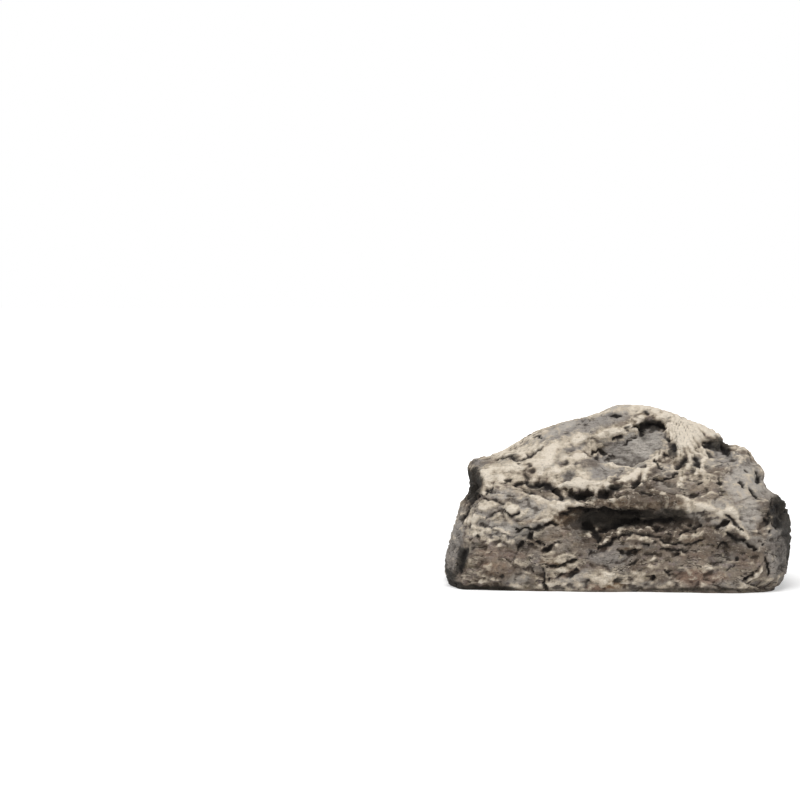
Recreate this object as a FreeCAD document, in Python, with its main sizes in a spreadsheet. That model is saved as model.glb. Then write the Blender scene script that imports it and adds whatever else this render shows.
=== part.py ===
import FreeCAD, Part

"""A hide-a-key rock: a cast stone shell with a key compartment let into its base.

The frame is millimetres, +Z up, with the origin at the middle of the base plane. The long
side runs along X and the craggy front faces -Y. A runner frame is screwed into a recess in
the base. It clamps a tray into the pocket above it, and a door slides in its grooves
towards +X, out along a channel in the base.
"""

import math
import os

import Sketcher

DOC = FreeCAD.newDocument("hide_a_key_rock")

# Driving dimensions, in millimetres. Each becomes one cell of the spreadsheet.
SIZES = {
    # the key compartment
    "key_length": 58.4,
    "key_width": 25.4,
    "key_depth": 12.0,
    "pad_thickness": 2.0,
    "pad_margin": 2.2,
    "tray_wall": 1.2,
    "tray_corner": 1.0,
    "flange_thickness": 1.2,
    "flange_inset": 0.8,
    "gasket_thickness": 0.8,
    # the runner frame
    "base_recess": 0.6,
    "lip_thickness": 0.9,
    "lip_width": 1.6,
    "web_thickness": 1.5,
    "web_overlap": 0.8,
    "track_width": 1.9,
    "track_stop": 1.6,
    "screw_land": 5.6,
    "end_wall": 1.4,
    "side_wall": 1.4,
    "frame_corner": 2.0,
    # the sliding door
    "tongue_thickness": 1.6,
    "panel_drop": 0.75,
    "rib_height": 0.4,
    "rib_width": 1.1,
    "rib_pitch": 2.3,
    "rib_length": 17.0,
    "arrow_length": 7.0,
    "arrow_width": 9.0,
    "lug_length": 2.0,
    "lug_height": 1.0,
    "pull_length": 2.3,
    "pull_drop": 1.2,
    "door_corner": 1.5,
    # the screws
    "screw_diameter": 2.0,
    "screw_length": 8.5,
    "screw_point": 1.8,
    "head_diameter": 3.8,
    "head_height": 1.1,
    "driver_width": 0.5,
    "driver_span": 2.2,
    "driver_depth": 0.6,
    "screw_from_window": 3.0,
    "screw_offset": 9.0,
    # clearances
    "fit_gap": 0.2,
    "slide_gap": 0.2,
    "groove_play": 0.15,
    "screw_gap": 0.05,
    # the stone round the compartment
    "end_rim": 6.0,
    "side_rim": 6.0,
    "end_flare": 1.7,
    "side_flare": 2.4,
    "roof_thickness": 25.95,
    "toe_height": 2.4,
    "belly_height": 7.0,
}

# The stone's outline at each level, from the belly upwards: height as a share of the rock's
# height, then the reach to the left, right, front and back as shares of the belly's own
# reach, then how far the corners stand out, where 1 is as far as on the belly.
LEVELS = {
    "waist": (0.338, 0.935, 0.995, 0.969, 0.961, 0.99),
    "ledge": (0.484, 0.878, 0.905, 0.929, 0.890, 0.98),
    "shoulder": (0.563, 0.863, 0.847, 0.807, 0.835, 0.97),
    "brow": (0.694, 0.838, 0.787, 0.545, 0.710, 0.95),
    "crown": (0.811, 0.540, 0.580, 0.335, 0.590, 0.92),
    "crest": (0.901, 0.285, 0.421, 0.170, 0.470, 0.90),
    "summit": (0.982, 0.050, 0.190, 0.040, 0.330, 0.90),
    "top": (1.000, 0.020, 0.095, 0.010, 0.245, 0.90),
}
LEVEL_FIELDS = ("height", "left", "right", "front", "back", "corner")

# Hollows broken out of the stone. The first three numbers are the surface there, as shares
# of the belly's reach and of the rock's height. Then come the way the hollow faces, a plan
# bearing from +X and a rise, in degrees, its half length, half height and half depth, and
# how deep it bites.
HOLLOWS = {
    # on the front
    "recess": (0.03, -0.90, 0.392, -87, 0, 17.0, 3.0, 5.0, 3.4),
    "recess_end": (0.38, -0.92, 0.400, -84, 0, 7.0, 2.0, 3.5, 1.5),
    "scoop": (0.06, -0.36, 0.739, -93, 45, 11.0, 6.5, 6.0, 2.6),
    "scoop_top": (0.21, -0.31, 0.815, -88, 46, 5.0, 4.0, 4.0, 1.8),
    "crevice": (0.20, -0.19, 0.883, -88, 46, 3.6, 1.3, 3.0, 1.5),
    "undercut": (-0.20, -0.83, 0.545, -88, 20, 11.0, 1.6, 3.0, 1.5),
    "notch": (0.57, -0.32, 0.770, -88, 0, 6.0, 3.4, 5.0, 2.0),
    "left_hollow": (-0.80, -0.53, 0.569, -150, 20, 3.0, 3.6, 3.0, 1.6),
    "left_bed": (-0.60, -0.95, 0.235, -95, 7, 11.0, 1.6, 2.5, 0.9),
    "right_bed": (0.35, -0.96, 0.227, -93, 6, 12.5, 1.6, 2.5, 0.9),
    "corner_bed": (0.66, -0.97, 0.300, -78, 4, 5.0, 1.6, 2.5, 1.0),
    "middle_bed": (-0.15, -0.96, 0.315, -88, 5, 4.5, 2.2, 2.5, 1.0),
    # on the far side
    "back_recess": (-0.28, 0.92, 0.315, 93, 0, 13.0, 3.6, 5.0, 2.0),
    "back_scoop": (0.37, 0.86, 0.473, 84, 17, 9.0, 5.0, 5.0, 2.2),
    "back_bed": (0.09, 0.97, 0.135, 92, 0, 15.0, 1.8, 2.5, 1.0),
    "back_corner": (0.62, 0.93, 0.225, 85, 5, 7.0, 3.0, 4.0, 1.4),
    "back_slope": (-0.51, 0.61, 0.541, 104, 38, 8.0, 4.5, 5.0, 1.8),
    "crown_slope": (0.09, 0.31, 0.933, 104, 38, 8.0, 5.0, 5.0, 1.4),
    # on the ends
    "right_end": (0.97, 0.24, 0.315, 4, 2, 7.0, 3.6, 4.0, 1.5),
    "right_step": (0.92, -0.30, 0.470, 4, 31, 5.0, 3.0, 3.0, 1.3),
    "left_end": (-0.92, 0.31, 0.360, -177, 20, 7.0, 3.6, 4.0, 1.4),
    "left_step": (-0.83, -0.08, 0.600, -175, 14, 6.0, 2.6, 3.0, 1.2),
}
# Swellings that stand out of the stone, with the same numbers: the last is how far.
SWELLINGS = {
    "lip": (0.03, -0.90, 0.482, -88, 9, 16.5, 1.6, 3.0, 0.9),
    "slab": (-0.46, -0.58, 0.667, -96, 48, 14.0, 4.0, 4.0, 1.0),
    "fan": (0.41, -0.31, 0.805, -81, 50, 4.0, 7.0, 4.0, 0.9),
    "back_lip": (-0.10, 0.91, 0.410, 90, 8, 15.0, 1.6, 3.0, 0.9),
}
FORM_FIELDS = ("x", "y", "z", "bearing", "rise", "length", "height", "depth", "bite")

# Flat faces broken off the far side: the plan bearing that each faces and its lean, in
# degrees, then its reach at the shoulder's height, as a share of the belly's half spans.
BREAKS = {
    "back_break": (104, 38, 0.56),
    "corner_break": (148, 33, 0.67),
}

# The stone's plan outline: corners as shares of the reach along X and Y, anticlockwise from
# the left end.
PLAN = (
    (-0.98, -0.62),
    (-0.88, -0.93),
    (-0.40, -1.00),
    (0.18, -0.96),
    (0.66, -1.00),
    (0.92, -0.88),
    (1.00, -0.45),
    (0.96, 0.50),
    (0.84, 0.92),
    (0.30, 1.00),
    (-0.35, 0.95),
    (-0.86, 0.95),
    (-1.00, 0.40),
)
CORNER_SHARE = 0.6  # a plan point counts as a corner when both its shares are above this


def make_sheet():
    """The spreadsheet: one row per size, alias in column A and value in column B."""
    sheet = DOC.addObject("Spreadsheet::Sheet", "sizes")
    cells = dict(SIZES)
    for level, row in LEVELS.items():
        for field, value in zip(LEVEL_FIELDS, row):
            cells[f"{level}_{field}"] = value
    for name, row in {**HOLLOWS, **SWELLINGS}.items():
        for field, value in zip(FORM_FIELDS, row):
            cells[f"{name}_{field}"] = value
    for name, (_, _, reach) in BREAKS.items():
        cells[f"{name}_reach"] = reach
    for row, (alias, value) in enumerate(cells.items(), start=1):
        sheet.set(f"A{row}", alias)
        sheet.set(f"B{row}", str(value))
        sheet.setAlias(f"B{row}", alias)
    DOC.recompute()
    return sheet


SHEET = make_sheet()

# Places that several pieces share, as expressions on the spreadsheet's cells.
# Heights, from the base plane up.
LIP_TOP = "(sizes.base_recess + sizes.lip_thickness)"
TONGUE_BOTTOM = f"({LIP_TOP} + sizes.groove_play)"
TONGUE_TOP = f"({TONGUE_BOTTOM} + sizes.tongue_thickness)"
WEB_BOTTOM = f"({TONGUE_TOP} + sizes.groove_play)"
WEB_TOP = f"({WEB_BOTTOM} + sizes.web_thickness)"
FLANGE_TOP = f"({WEB_TOP} + sizes.flange_thickness)"
GASKET_TOP = f"({FLANGE_TOP} + sizes.gasket_thickness)"
PAD_BOTTOM = f"({TONGUE_TOP} + sizes.key_depth)"
TRAY_CEILING = f"({PAD_BOTTOM} + sizes.pad_thickness)"
TRAY_TOP = f"({TRAY_CEILING} + sizes.tray_wall)"
ROCK_HEIGHT = f"({TRAY_TOP} + sizes.roof_thickness)"
# Along X. The frame is centred on the origin, and its end wall pushes the window to +X.
WINDOW_X = "(sizes.end_wall / 2)"
WINDOW_HALF = "(sizes.key_length / 2)"
FRAME_HALF_LENGTH = f"({WINDOW_HALF} + sizes.screw_land + sizes.end_wall / 2)"
END_STOP = f"(sizes.end_wall - {FRAME_HALF_LENGTH})"
TRACK_END = f"({FRAME_HALF_LENGTH} - sizes.track_stop)"
DOOR_START = f"({END_STOP} + sizes.slide_gap)"
SCREW_REACH = f"({WINDOW_HALF} + sizes.screw_from_window)"
# Along Y.
TRACK_Y = "(sizes.key_width / 2)"
WINDOW_HALF_WIDTH = f"({TRACK_Y} + sizes.track_width)"
TONGUE_HALF = f"({WINDOW_HALF_WIDTH} + sizes.web_overlap)"
GROOVE_HALF = f"({TONGUE_HALF} + sizes.slide_gap)"
LIP_EDGE = f"({GROOVE_HALF} - sizes.lip_width)"
FRAME_HALF_WIDTH = f"({GROOVE_HALF} + sizes.side_wall)"
# The stone's reach at its base and at its belly.
FOOT_X = f"({FRAME_HALF_LENGTH} + sizes.end_rim)"
FOOT_Y = f"({FRAME_HALF_WIDTH} + sizes.side_rim)"
BELLY_X = f"({FOOT_X} + sizes.end_flare)"
BELLY_Y = f"({FOOT_Y} + sizes.side_flare)"


def value(expression):
    """What an expression on the spreadsheet comes to now."""
    result = SHEET.evalExpression(expression.replace("sizes.", ""))
    return float(getattr(result, "Value", result))


def new_body(label):
    body = DOC.addObject("PartDesign::Body", label)
    body.Label = label
    return body


def base_plane(body, role="XY_Plane"):
    """One of the body's own origin planes."""
    return next(f for f in body.Origin.OriginFeatures if f.Role == role)


def new_sketch(body, name, height="0"):
    """An empty sketch parallel to the base plane, at a height given as an expression."""
    sketch = body.newObject("Sketcher::SketchObject", name)
    sketch.AttachmentSupport = (base_plane(body), "")
    sketch.MapMode = "FlatFace"
    sketch.setExpression("AttachmentOffset.Base.z", height)
    return sketch


def pin_point(sketch, geometry, point, x, y):
    """Ties a point of the sketch to two expressions, measured from the sketch's origin."""
    for kind, expression in (("DistanceX", x), ("DistanceY", y)):
        index = sketch.addConstraint(
            Sketcher.Constraint(kind, -1, 1, geometry, point, value(expression))
        )
        sketch.setExpression(f"Constraints[{index}]", expression)


def polygon(sketch, corners):
    """A closed run of straight edges through corners, each an (x, y) pair of expressions."""
    points = [FreeCAD.Vector(value(x), value(y), 0) for x, y in corners]
    first = sketch.GeometryCount
    count = len(points)
    for i in range(count):
        sketch.addGeometry(Part.LineSegment(points[i], points[(i + 1) % count]), False)
    for i in range(count):
        sketch.addConstraint(
            Sketcher.Constraint("Coincident", first + i, 2, first + (i + 1) % count, 1)
        )
        pin_point(sketch, first + i, 1, *corners[i])
    return sketch


def rectangle(sketch, left, right, front, back):
    """A rectangle between two X places and two Y places, all expressions."""
    return polygon(sketch, ((left, front), (right, front), (right, back), (left, back)))


def rounded_rectangle(sketch, left, right, front, back, radius):
    """A rectangle with its four corners rounded to one radius."""
    x0, x1, y0, y1 = (value(e) for e in (left, right, front, back))
    r = value(radius)
    first = sketch.GeometryCount
    corners = ((x1, y0), (x1, y1), (x0, y1), (x0, y0))
    inward = ((-1, 1), (-1, -1), (1, -1), (1, 1))
    lines = (
        ((x0 + r, y0), (x1 - r, y0)),
        ((x1, y0 + r), (x1, y1 - r)),
        ((x1 - r, y1), (x0 + r, y1)),
        ((x0, y1 - r), (x0, y0 + r)),
    )
    for i, ((ax, ay), (bx, by)) in enumerate(lines):
        sketch.addGeometry(
            Part.LineSegment(FreeCAD.Vector(ax, ay, 0), FreeCAD.Vector(bx, by, 0)), False
        )
        centre = FreeCAD.Vector(
            corners[i][0] + inward[i][0] * r, corners[i][1] + inward[i][1] * r, 0
        )
        circle = Part.Circle(centre, FreeCAD.Vector(0, 0, 1), r)
        start = (i - 1) * math.pi / 2
        sketch.addGeometry(Part.ArcOfCircle(circle, start, start + math.pi / 2), False)
    for i in range(4):
        line, arc = first + 2 * i, first + 2 * i + 1
        following = first + 2 * ((i + 1) % 4)
        sketch.addConstraint(Sketcher.Constraint("Tangent", line, 2, arc, 1))
        sketch.addConstraint(Sketcher.Constraint("Tangent", arc, 2, following, 1))
        flat = "Horizontal" if i % 2 == 0 else "Vertical"
        sketch.addConstraint(Sketcher.Constraint(flat, line))
        if i:
            sketch.addConstraint(Sketcher.Constraint("Equal", first + 1, arc))
    bound = [("Radius", (first + 1,), radius)]
    bound += [("DistanceY", (-1, 1, first, 1), front), ("DistanceX", (-1, 1, first + 2, 1), right)]
    bound += [("DistanceY", (-1, 1, first + 4, 1), back), ("DistanceX", (-1, 1, first + 6, 1), left)]
    for kind, places, expression in bound:
        index = sketch.addConstraint(Sketcher.Constraint(kind, *places, value(expression)))
        sketch.setExpression(f"Constraints[{index}]", expression)
    return sketch


def centred_box(sketch, half_length, half_width, radius, centre="0"):
    """A rounded rectangle about (centre, 0)."""
    return rounded_rectangle(
        sketch,
        f"{centre} - {half_length}",
        f"{centre} + {half_length}",
        f"-{half_width}",
        half_width,
        radius,
    )


def circles(sketch, places, diameter):
    """Circles of one diameter at (x, y) pairs of expressions."""
    for x, y in places:
        centre = FreeCAD.Vector(value(x), value(y), 0)
        circle = Part.Circle(centre, FreeCAD.Vector(0, 0, 1), value(diameter) / 2)
        index = sketch.addGeometry(circle, False)
        pin_point(sketch, index, 3, x, y)
        bound = sketch.addConstraint(
            Sketcher.Constraint("Diameter", index, value(diameter))
        )
        sketch.setExpression(f"Constraints[{bound}]", diameter)
    return sketch


def pad(body, name, sketch, length):
    """Material from the sketch upwards by length, an expression."""
    before = body.Shape.Volume if not body.Shape.isNull() else 0.0
    feature = body.newObject("PartDesign::Pad", name)
    feature.Profile = sketch
    feature.setExpression("Length", length)
    DOC.recompute()
    if feature.Shape.Volume <= before:
        raise RuntimeError(f"{name} adds nothing to {body.Label}")
    return feature


def pocket(body, name, sketch, depth):
    """Cuts from the sketch upwards by depth, an expression."""
    before = body.Shape.Volume
    feature = body.newObject("PartDesign::Pocket", name)
    feature.Profile = sketch
    feature.Reversed = True
    feature.setExpression("Length", depth)
    DOC.recompute()
    if feature.Shape.Volume >= before:
        raise RuntimeError(f"{name} cuts nothing from {body.Label}")
    return feature


def screw_places():
    """The four screws, as (x, y) expressions."""
    return [
        (f"{WINDOW_X} {sx} {SCREW_REACH}", f"{sy}sizes.screw_offset")
        for sx in "+-"
        for sy in ("", "-")
    ]


def primitive(body, kind, name, centre, turn, **bound):
    """A PartDesign primitive at centre, expressions, turned by (axis, degrees)."""
    before = body.Shape.Volume
    feature = body.newObject(f"PartDesign::{kind}", name)
    feature.AttachmentSupport = (base_plane(body), "")
    feature.MapMode = "FlatFace"
    feature.AttachmentOffset = FreeCAD.Placement(
        FreeCAD.Vector(), FreeCAD.Rotation(FreeCAD.Vector(*turn[0]), turn[1])
    )
    for axis, place in zip("xyz", centre):
        feature.setExpression(f"AttachmentOffset.Base.{axis}", place)
    for prop, expression in bound.items():
        feature.setExpression(prop, expression)
    DOC.recompute()
    if not feature.isValid() or feature.Shape.Volume == before:
        raise RuntimeError(f"{name} does nothing to {body.Label}")
    return feature


def ring(body, name, height, left, right, front, back, corner="1"):
    """One level of the stone: the plan outline stretched to four reaches."""
    corners = []
    for u, v in PLAN:
        reach_x = left if u < 0 else right
        reach_y = front if v < 0 else back
        pull = f" * {corner}" if min(abs(u), abs(v)) > CORNER_SHARE else ""
        corners.append((f"{u} * {reach_x}{pull}", f"{v} * {reach_y}{pull}"))
    return polygon(new_sketch(body, name, height), corners)


def stone_form(body):
    """The stone's outer form: a straight-sided loft up through its levels."""
    rings = [
        ring(body, "foot_ring", "0", FOOT_X, FOOT_X, FOOT_Y, FOOT_Y),
        ring(
            body,
            "toe_ring",
            "sizes.toe_height",
            f"({FOOT_X} + 0.75 * sizes.end_flare)",
            f"({FOOT_X} + 0.65 * sizes.end_flare)",
            f"({FOOT_Y} + 0.7 * sizes.side_flare)",
            f"({FOOT_Y} + 0.7 * sizes.side_flare)",
        ),
        ring(body, "belly_ring", "sizes.belly_height", BELLY_X, BELLY_X, BELLY_Y, BELLY_Y),
    ]
    for level in LEVELS:
        rings.append(
            ring(
                body,
                f"{level}_ring",
                f"sizes.{level}_height * {ROCK_HEIGHT}",
                f"(sizes.{level}_left * {BELLY_X})",
                f"(sizes.{level}_right * {BELLY_X})",
                f"(sizes.{level}_front * {BELLY_Y})",
                f"(sizes.{level}_back * {BELLY_Y})",
                f"sizes.{level}_corner",
            )
        )
    loft = body.newObject("PartDesign::AdditiveLoft", "stone_form")
    loft.Profile = rings[0]
    loft.Sections = rings[1:]
    loft.Ruled = True
    DOC.recompute()


def ellipsoid(name, numbers, side):
    """An ellipsoid in the stone's surface: side is 1 for a hollow and -1 for a swelling."""
    turn = FreeCAD.Rotation(FreeCAD.Vector(0, 0, 1), numbers["bearing"] + 90)
    turn = turn.multiply(FreeCAD.Rotation(FreeCAD.Vector(1, 0, 0), -numbers["rise"]))
    out = turn.multVec(FreeCAD.Vector(0, -1, 0))
    shift = f"{side} * (sizes.{name}_depth - sizes.{name}_bite)"
    form = DOC.addObject("Part::Ellipsoid", name)
    form.Placement = FreeCAD.Placement(FreeCAD.Vector(), turn)
    form.setExpression("Placement.Base.x", f"sizes.{name}_x * {BELLY_X} + {out.x:.4f} * {shift}")
    form.setExpression("Placement.Base.y", f"sizes.{name}_y * {BELLY_Y} + {out.y:.4f} * {shift}")
    form.setExpression(
        "Placement.Base.z", f"sizes.{name}_z * {ROCK_HEIGHT} + {out.z:.4f} * {shift}"
    )
    form.setExpression("Radius1", f"sizes.{name}_height")
    form.setExpression("Radius2", f"sizes.{name}_length")
    form.setExpression("Radius3", f"sizes.{name}_depth")
    return form


def ellipsoids(rows, side):
    return [
        ellipsoid(name, dict(zip(FORM_FIELDS, row)), side) for name, row in rows.items()
    ]


def flat_break(body, name):
    """A flat face broken off the stone: a plane that leans back, facing a plan bearing."""
    bearing, lean, _ = BREAKS[name]
    span = f"(2 * ({BELLY_X} + {ROCK_HEIGHT}))"
    turn = FreeCAD.Rotation(FreeCAD.Vector(0, 0, 1), bearing)
    turn = turn.multiply(FreeCAD.Rotation(FreeCAD.Vector(0, 1, 0), -lean))
    cos, sin = math.cos(math.radians(bearing)), math.sin(math.radians(bearing))
    distance = f"(sizes.{name}_reach * ({abs(cos):.3f} * {BELLY_X} + {abs(sin):.3f} * {BELLY_Y}))"
    middle = turn.multVec(FreeCAD.Vector(0, -0.5, -0.5))
    primitive(
        body,
        "SubtractiveBox",
        name,
        (
            f"{cos:.3f} * {distance} + {middle.x:.4f} * {span}",
            f"{sin:.3f} * {distance} + {middle.y:.4f} * {span}",
            f"sizes.shoulder_height * {ROCK_HEIGHT} + {middle.z:.4f} * {span}",
        ),
        (turn.Axis, math.degrees(turn.Angle)),
        Length=span,
        Width=span,
        Height=span,
    )


def stone_seats(body):
    """The stepped recess in the base that takes frame, flange, gasket and tray."""
    gap = "sizes.fit_gap"
    seats = (
        ("frame_seat", FRAME_HALF_LENGTH, FRAME_HALF_WIDTH, "sizes.frame_corner", "0", WEB_TOP),
        (
            "flange_seat",
            f"({FRAME_HALF_LENGTH} - sizes.flange_inset)",
            f"({FRAME_HALF_WIDTH} - sizes.flange_inset)",
            "sizes.frame_corner",
            "0",
            GASKET_TOP,
        ),
        (
            "tray_seat",
            f"({WINDOW_HALF} + sizes.tray_wall)",
            f"({TRACK_Y} + sizes.tray_wall)",
            "sizes.tray_corner",
            WINDOW_X,
            f"({TRAY_TOP} + sizes.fit_gap)",
        ),
    )
    for name, half_length, half_width, corner, centre, top in seats:
        sketch = centred_box(
            new_sketch(body, f"{name}_sketch"),
            f"({half_length} + {gap})",
            f"({half_width} + {gap})",
            f"({corner} + {gap})",
            centre,
        )
        pocket(body, name, sketch, top)
    channel = rectangle(
        new_sketch(body, "run_out_sketch"),
        f"{FRAME_HALF_LENGTH} - sizes.frame_corner",
        f"{BELLY_X} + sizes.end_flare",
        f"-{GROOVE_HALF}",
        GROOVE_HALF,
    )
    pocket(body, "run_out", channel, f"{WEB_BOTTOM} + {gap}")
    pilots = circles(
        new_sketch(body, "pilot_sketch"),
        screw_places(),
        "sizes.screw_diameter + 2 * sizes.screw_gap",
    )
    pocket(body, "pilot_holes", pilots, f"{WEB_BOTTOM} + sizes.screw_length + {gap}")


def make_rock_shell():
    """The cast stone: its broken form with the seats, then its swellings and hollows."""
    body = new_body("seated_stone")
    stone_form(body)
    for name in BREAKS:
        flat_break(body, name)
    stone_seats(body)
    swollen = DOC.addObject("Part::MultiFuse", "swollen_stone")
    swollen.Shapes = [body, *ellipsoids(SWELLINGS, -1)]
    hollows = DOC.addObject("Part::MultiFuse", "stone_hollows")
    hollows.Shapes = ellipsoids(HOLLOWS, 1)
    shell = DOC.addObject("Part::Cut", "rock_shell")
    shell.Base = swollen
    shell.Tool = hollows
    DOC.recompute()
    if shell.Shape.Volume >= swollen.Shape.Volume:
        raise RuntimeError("the hollows cut nothing from the stone")
    return shell


def make_key_tray():
    """The moulded liner: an open-bottomed box with a flange that the frame clamps."""
    body = new_body("key_tray")
    outer = centred_box(
        new_sketch(body, "outer_sketch", WEB_TOP),
        f"({WINDOW_HALF} + sizes.tray_wall)",
        f"({TRACK_Y} + sizes.tray_wall)",
        "(sizes.tray_corner + sizes.tray_wall)",
        WINDOW_X,
    )
    pad(body, "outer_walls", outer, f"{TRAY_TOP} - {WEB_TOP}")
    flange = centred_box(
        new_sketch(body, "flange_sketch", WEB_TOP),
        f"({FRAME_HALF_LENGTH} - sizes.flange_inset)",
        f"({FRAME_HALF_WIDTH} - sizes.flange_inset)",
        "sizes.frame_corner",
    )
    pad(body, "flange", flange, "sizes.flange_thickness")
    inner = centred_box(
        new_sketch(body, "inner_sketch", WEB_TOP),
        WINDOW_HALF,
        TRACK_Y,
        "sizes.tray_corner",
        WINDOW_X,
    )
    pocket(body, "key_space", inner, f"{TRAY_CEILING} - {WEB_TOP}")
    holes = circles(
        new_sketch(body, "hole_sketch", WEB_TOP),
        screw_places(),
        "sizes.screw_diameter + 2 * sizes.fit_gap",
    )
    pocket(body, "screw_holes", holes, "sizes.flange_thickness")
    top = value(TRAY_TOP)
    sharp = body.Tip
    rim = [
        f"Edge{i}"
        for i, edge in enumerate(sharp.Shape.Edges, start=1)
        if all(abs(v.Z - top) < 1e-3 for v in edge.Vertexes)
    ]
    rounding = body.newObject("PartDesign::Fillet", "top_rounding")
    rounding.Base = (sharp, rim)
    rounding.setExpression("Radius", "0.5 * sizes.tray_wall")
    DOC.recompute()
    return body


def make_frame_gasket():
    """The soft ring between the tray's flange and the stone."""
    body = new_body("frame_gasket")
    sketch = new_sketch(body, "ring_sketch", FLANGE_TOP)
    centred_box(
        sketch,
        f"({FRAME_HALF_LENGTH} - sizes.flange_inset)",
        f"({FRAME_HALF_WIDTH} - sizes.flange_inset)",
        "sizes.frame_corner",
    )
    centred_box(
        sketch,
        f"({WINDOW_HALF} + sizes.tray_wall + sizes.fit_gap)",
        f"({TRACK_Y} + sizes.tray_wall + sizes.fit_gap)",
        "(sizes.tray_corner + sizes.tray_wall + sizes.fit_gap)",
        WINDOW_X,
    )
    circles(sketch, screw_places(), "sizes.screw_diameter + 2 * sizes.fit_gap")
    pad(body, "ring", sketch, "sizes.gasket_thickness")
    return body


def make_key_pad():
    """The soft pad under the tray's ceiling that keeps a key from rattling."""
    body = new_body("key_pad")
    sketch = centred_box(
        new_sketch(body, "pad_sketch", PAD_BOTTOM),
        f"({WINDOW_HALF} - sizes.pad_margin)",
        f"({TRACK_Y} - sizes.pad_margin)",
        "sizes.tray_corner",
        WINDOW_X,
    )
    pad(body, "foam", sketch, "sizes.pad_thickness")
    return body


def make_door_frame():
    """The runner frame: grooves for the door, a window under the tray, four screw seats."""
    body = new_body("door_frame")
    outer = centred_box(
        new_sketch(body, "outer_sketch", "sizes.base_recess"),
        FRAME_HALF_LENGTH,
        FRAME_HALF_WIDTH,
        "sizes.frame_corner",
    )
    pad(body, "block", outer, f"{WEB_TOP} - sizes.base_recess")
    past_mouth = f"({FRAME_HALF_LENGTH} + sizes.frame_corner)"
    lips = rectangle(
        new_sketch(body, "lip_sketch", "sizes.base_recess"),
        END_STOP,
        past_mouth,
        f"-{LIP_EDGE}",
        LIP_EDGE,
    )
    pocket(body, "between_lips", lips, "sizes.lip_thickness")
    groove = rectangle(
        new_sketch(body, "groove_sketch", LIP_TOP),
        END_STOP,
        past_mouth,
        f"-{GROOVE_HALF}",
        GROOVE_HALF,
    )
    pocket(body, "grooves", groove, f"{WEB_BOTTOM} - {LIP_TOP}")
    window = centred_box(
        new_sketch(body, "window_sketch", WEB_BOTTOM),
        WINDOW_HALF,
        WINDOW_HALF_WIDTH,
        "sizes.tray_corner",
        WINDOW_X,
    )
    pocket(body, "window", window, "sizes.web_thickness")
    for side, name in (("", "back_track"), ("-", "front_track")):
        inner, outer_edge = f"{side}{TRACK_Y}", f"{side}{WINDOW_HALF_WIDTH}"
        low, high = (inner, outer_edge) if side == "" else (outer_edge, inner)
        track = rectangle(
            new_sketch(body, f"{name}_sketch", WEB_BOTTOM), END_STOP, TRACK_END, low, high
        )
        pocket(body, name, track, "sizes.web_thickness")
    holes = circles(
        new_sketch(body, "hole_sketch", WEB_BOTTOM),
        screw_places(),
        "sizes.screw_diameter + 2 * sizes.screw_gap",
    )
    pocket(body, "screw_holes", holes, "sizes.web_thickness")
    for number, (x, y) in enumerate(screw_places(), start=1):
        primitive(
            body,
            "SubtractiveCone",
            f"countersink_{number}",
            (x, y, WEB_BOTTOM),
            ((0, 0, 1), 0),
            Radius1="sizes.head_diameter / 2 + sizes.screw_gap",
            Radius2="sizes.screw_diameter / 2 + sizes.screw_gap",
            Height="sizes.head_height",
        )
    return body


def make_slide_door():
    """The door: a tongue in the frame's grooves, a panel between its lips, and two lugs."""
    body = new_body("slide_door")
    door_end = f"({FRAME_HALF_LENGTH} + sizes.fit_gap + sizes.pull_length)"
    tongue = rounded_rectangle(
        new_sketch(body, "tongue_sketch", TONGUE_BOTTOM),
        DOOR_START,
        door_end,
        f"-{TONGUE_HALF}",
        TONGUE_HALF,
        "sizes.door_corner",
    )
    pad(body, "tongue", tongue, "sizes.tongue_thickness")
    panel_half = f"({LIP_EDGE} - sizes.slide_gap)"
    panel_bottom = f"({TONGUE_BOTTOM} - sizes.panel_drop)"
    panel = rectangle(
        new_sketch(body, "panel_sketch", panel_bottom),
        f"{DOOR_START} + sizes.door_corner",
        door_end,
        f"-{panel_half}",
        panel_half,
    )
    pad(body, "panel", panel, "sizes.panel_drop")
    pull = rectangle(
        new_sketch(body, "pull_sketch", f"{TONGUE_BOTTOM} - sizes.pull_drop"),
        f"{door_end} - 0.6 * sizes.pull_length",
        door_end,
        f"-{panel_half}",
        panel_half,
    )
    pad(body, "pull_lip", pull, "sizes.pull_drop")
    rib_bottom = f"({panel_bottom} - sizes.rib_height)"
    rib_start = f"({FRAME_HALF_LENGTH} - 7 * sizes.rib_pitch)"
    for number in range(6):
        rib = rectangle(
            new_sketch(body, f"rib_sketch_{number + 1}", rib_bottom),
            f"{rib_start} + {number} * sizes.rib_pitch",
            f"{rib_start} + {number} * sizes.rib_pitch + sizes.rib_width",
            "-sizes.rib_length / 2",
            "sizes.rib_length / 2",
        )
        pad(body, f"thumb_rib_{number + 1}", rib, "sizes.rib_height")
    arrow_tip = f"({rib_start} - sizes.rib_pitch)"
    arrow = polygon(
        new_sketch(body, "arrow_sketch", rib_bottom),
        (
            (f"{arrow_tip} - sizes.arrow_length", "-sizes.arrow_width / 2"),
            (arrow_tip, "0"),
            (f"{arrow_tip} - sizes.arrow_length", "sizes.arrow_width / 2"),
        ),
    )
    pad(body, "slide_arrow", arrow, "sizes.rib_height")
    near, far = f"({TRACK_Y} + sizes.slide_gap)", f"({WINDOW_HALF_WIDTH} - sizes.slide_gap)"
    for name, low, high in (("back_lug", near, far), ("front_lug", f"-{far}", f"-{near}")):
        lug = rectangle(
            new_sketch(body, f"{name}_sketch", TONGUE_TOP),
            DOOR_START,
            f"{DOOR_START} + sizes.lug_length",
            low,
            high,
        )
        pad(body, name, lug, "sizes.lug_height")
    return body


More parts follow.
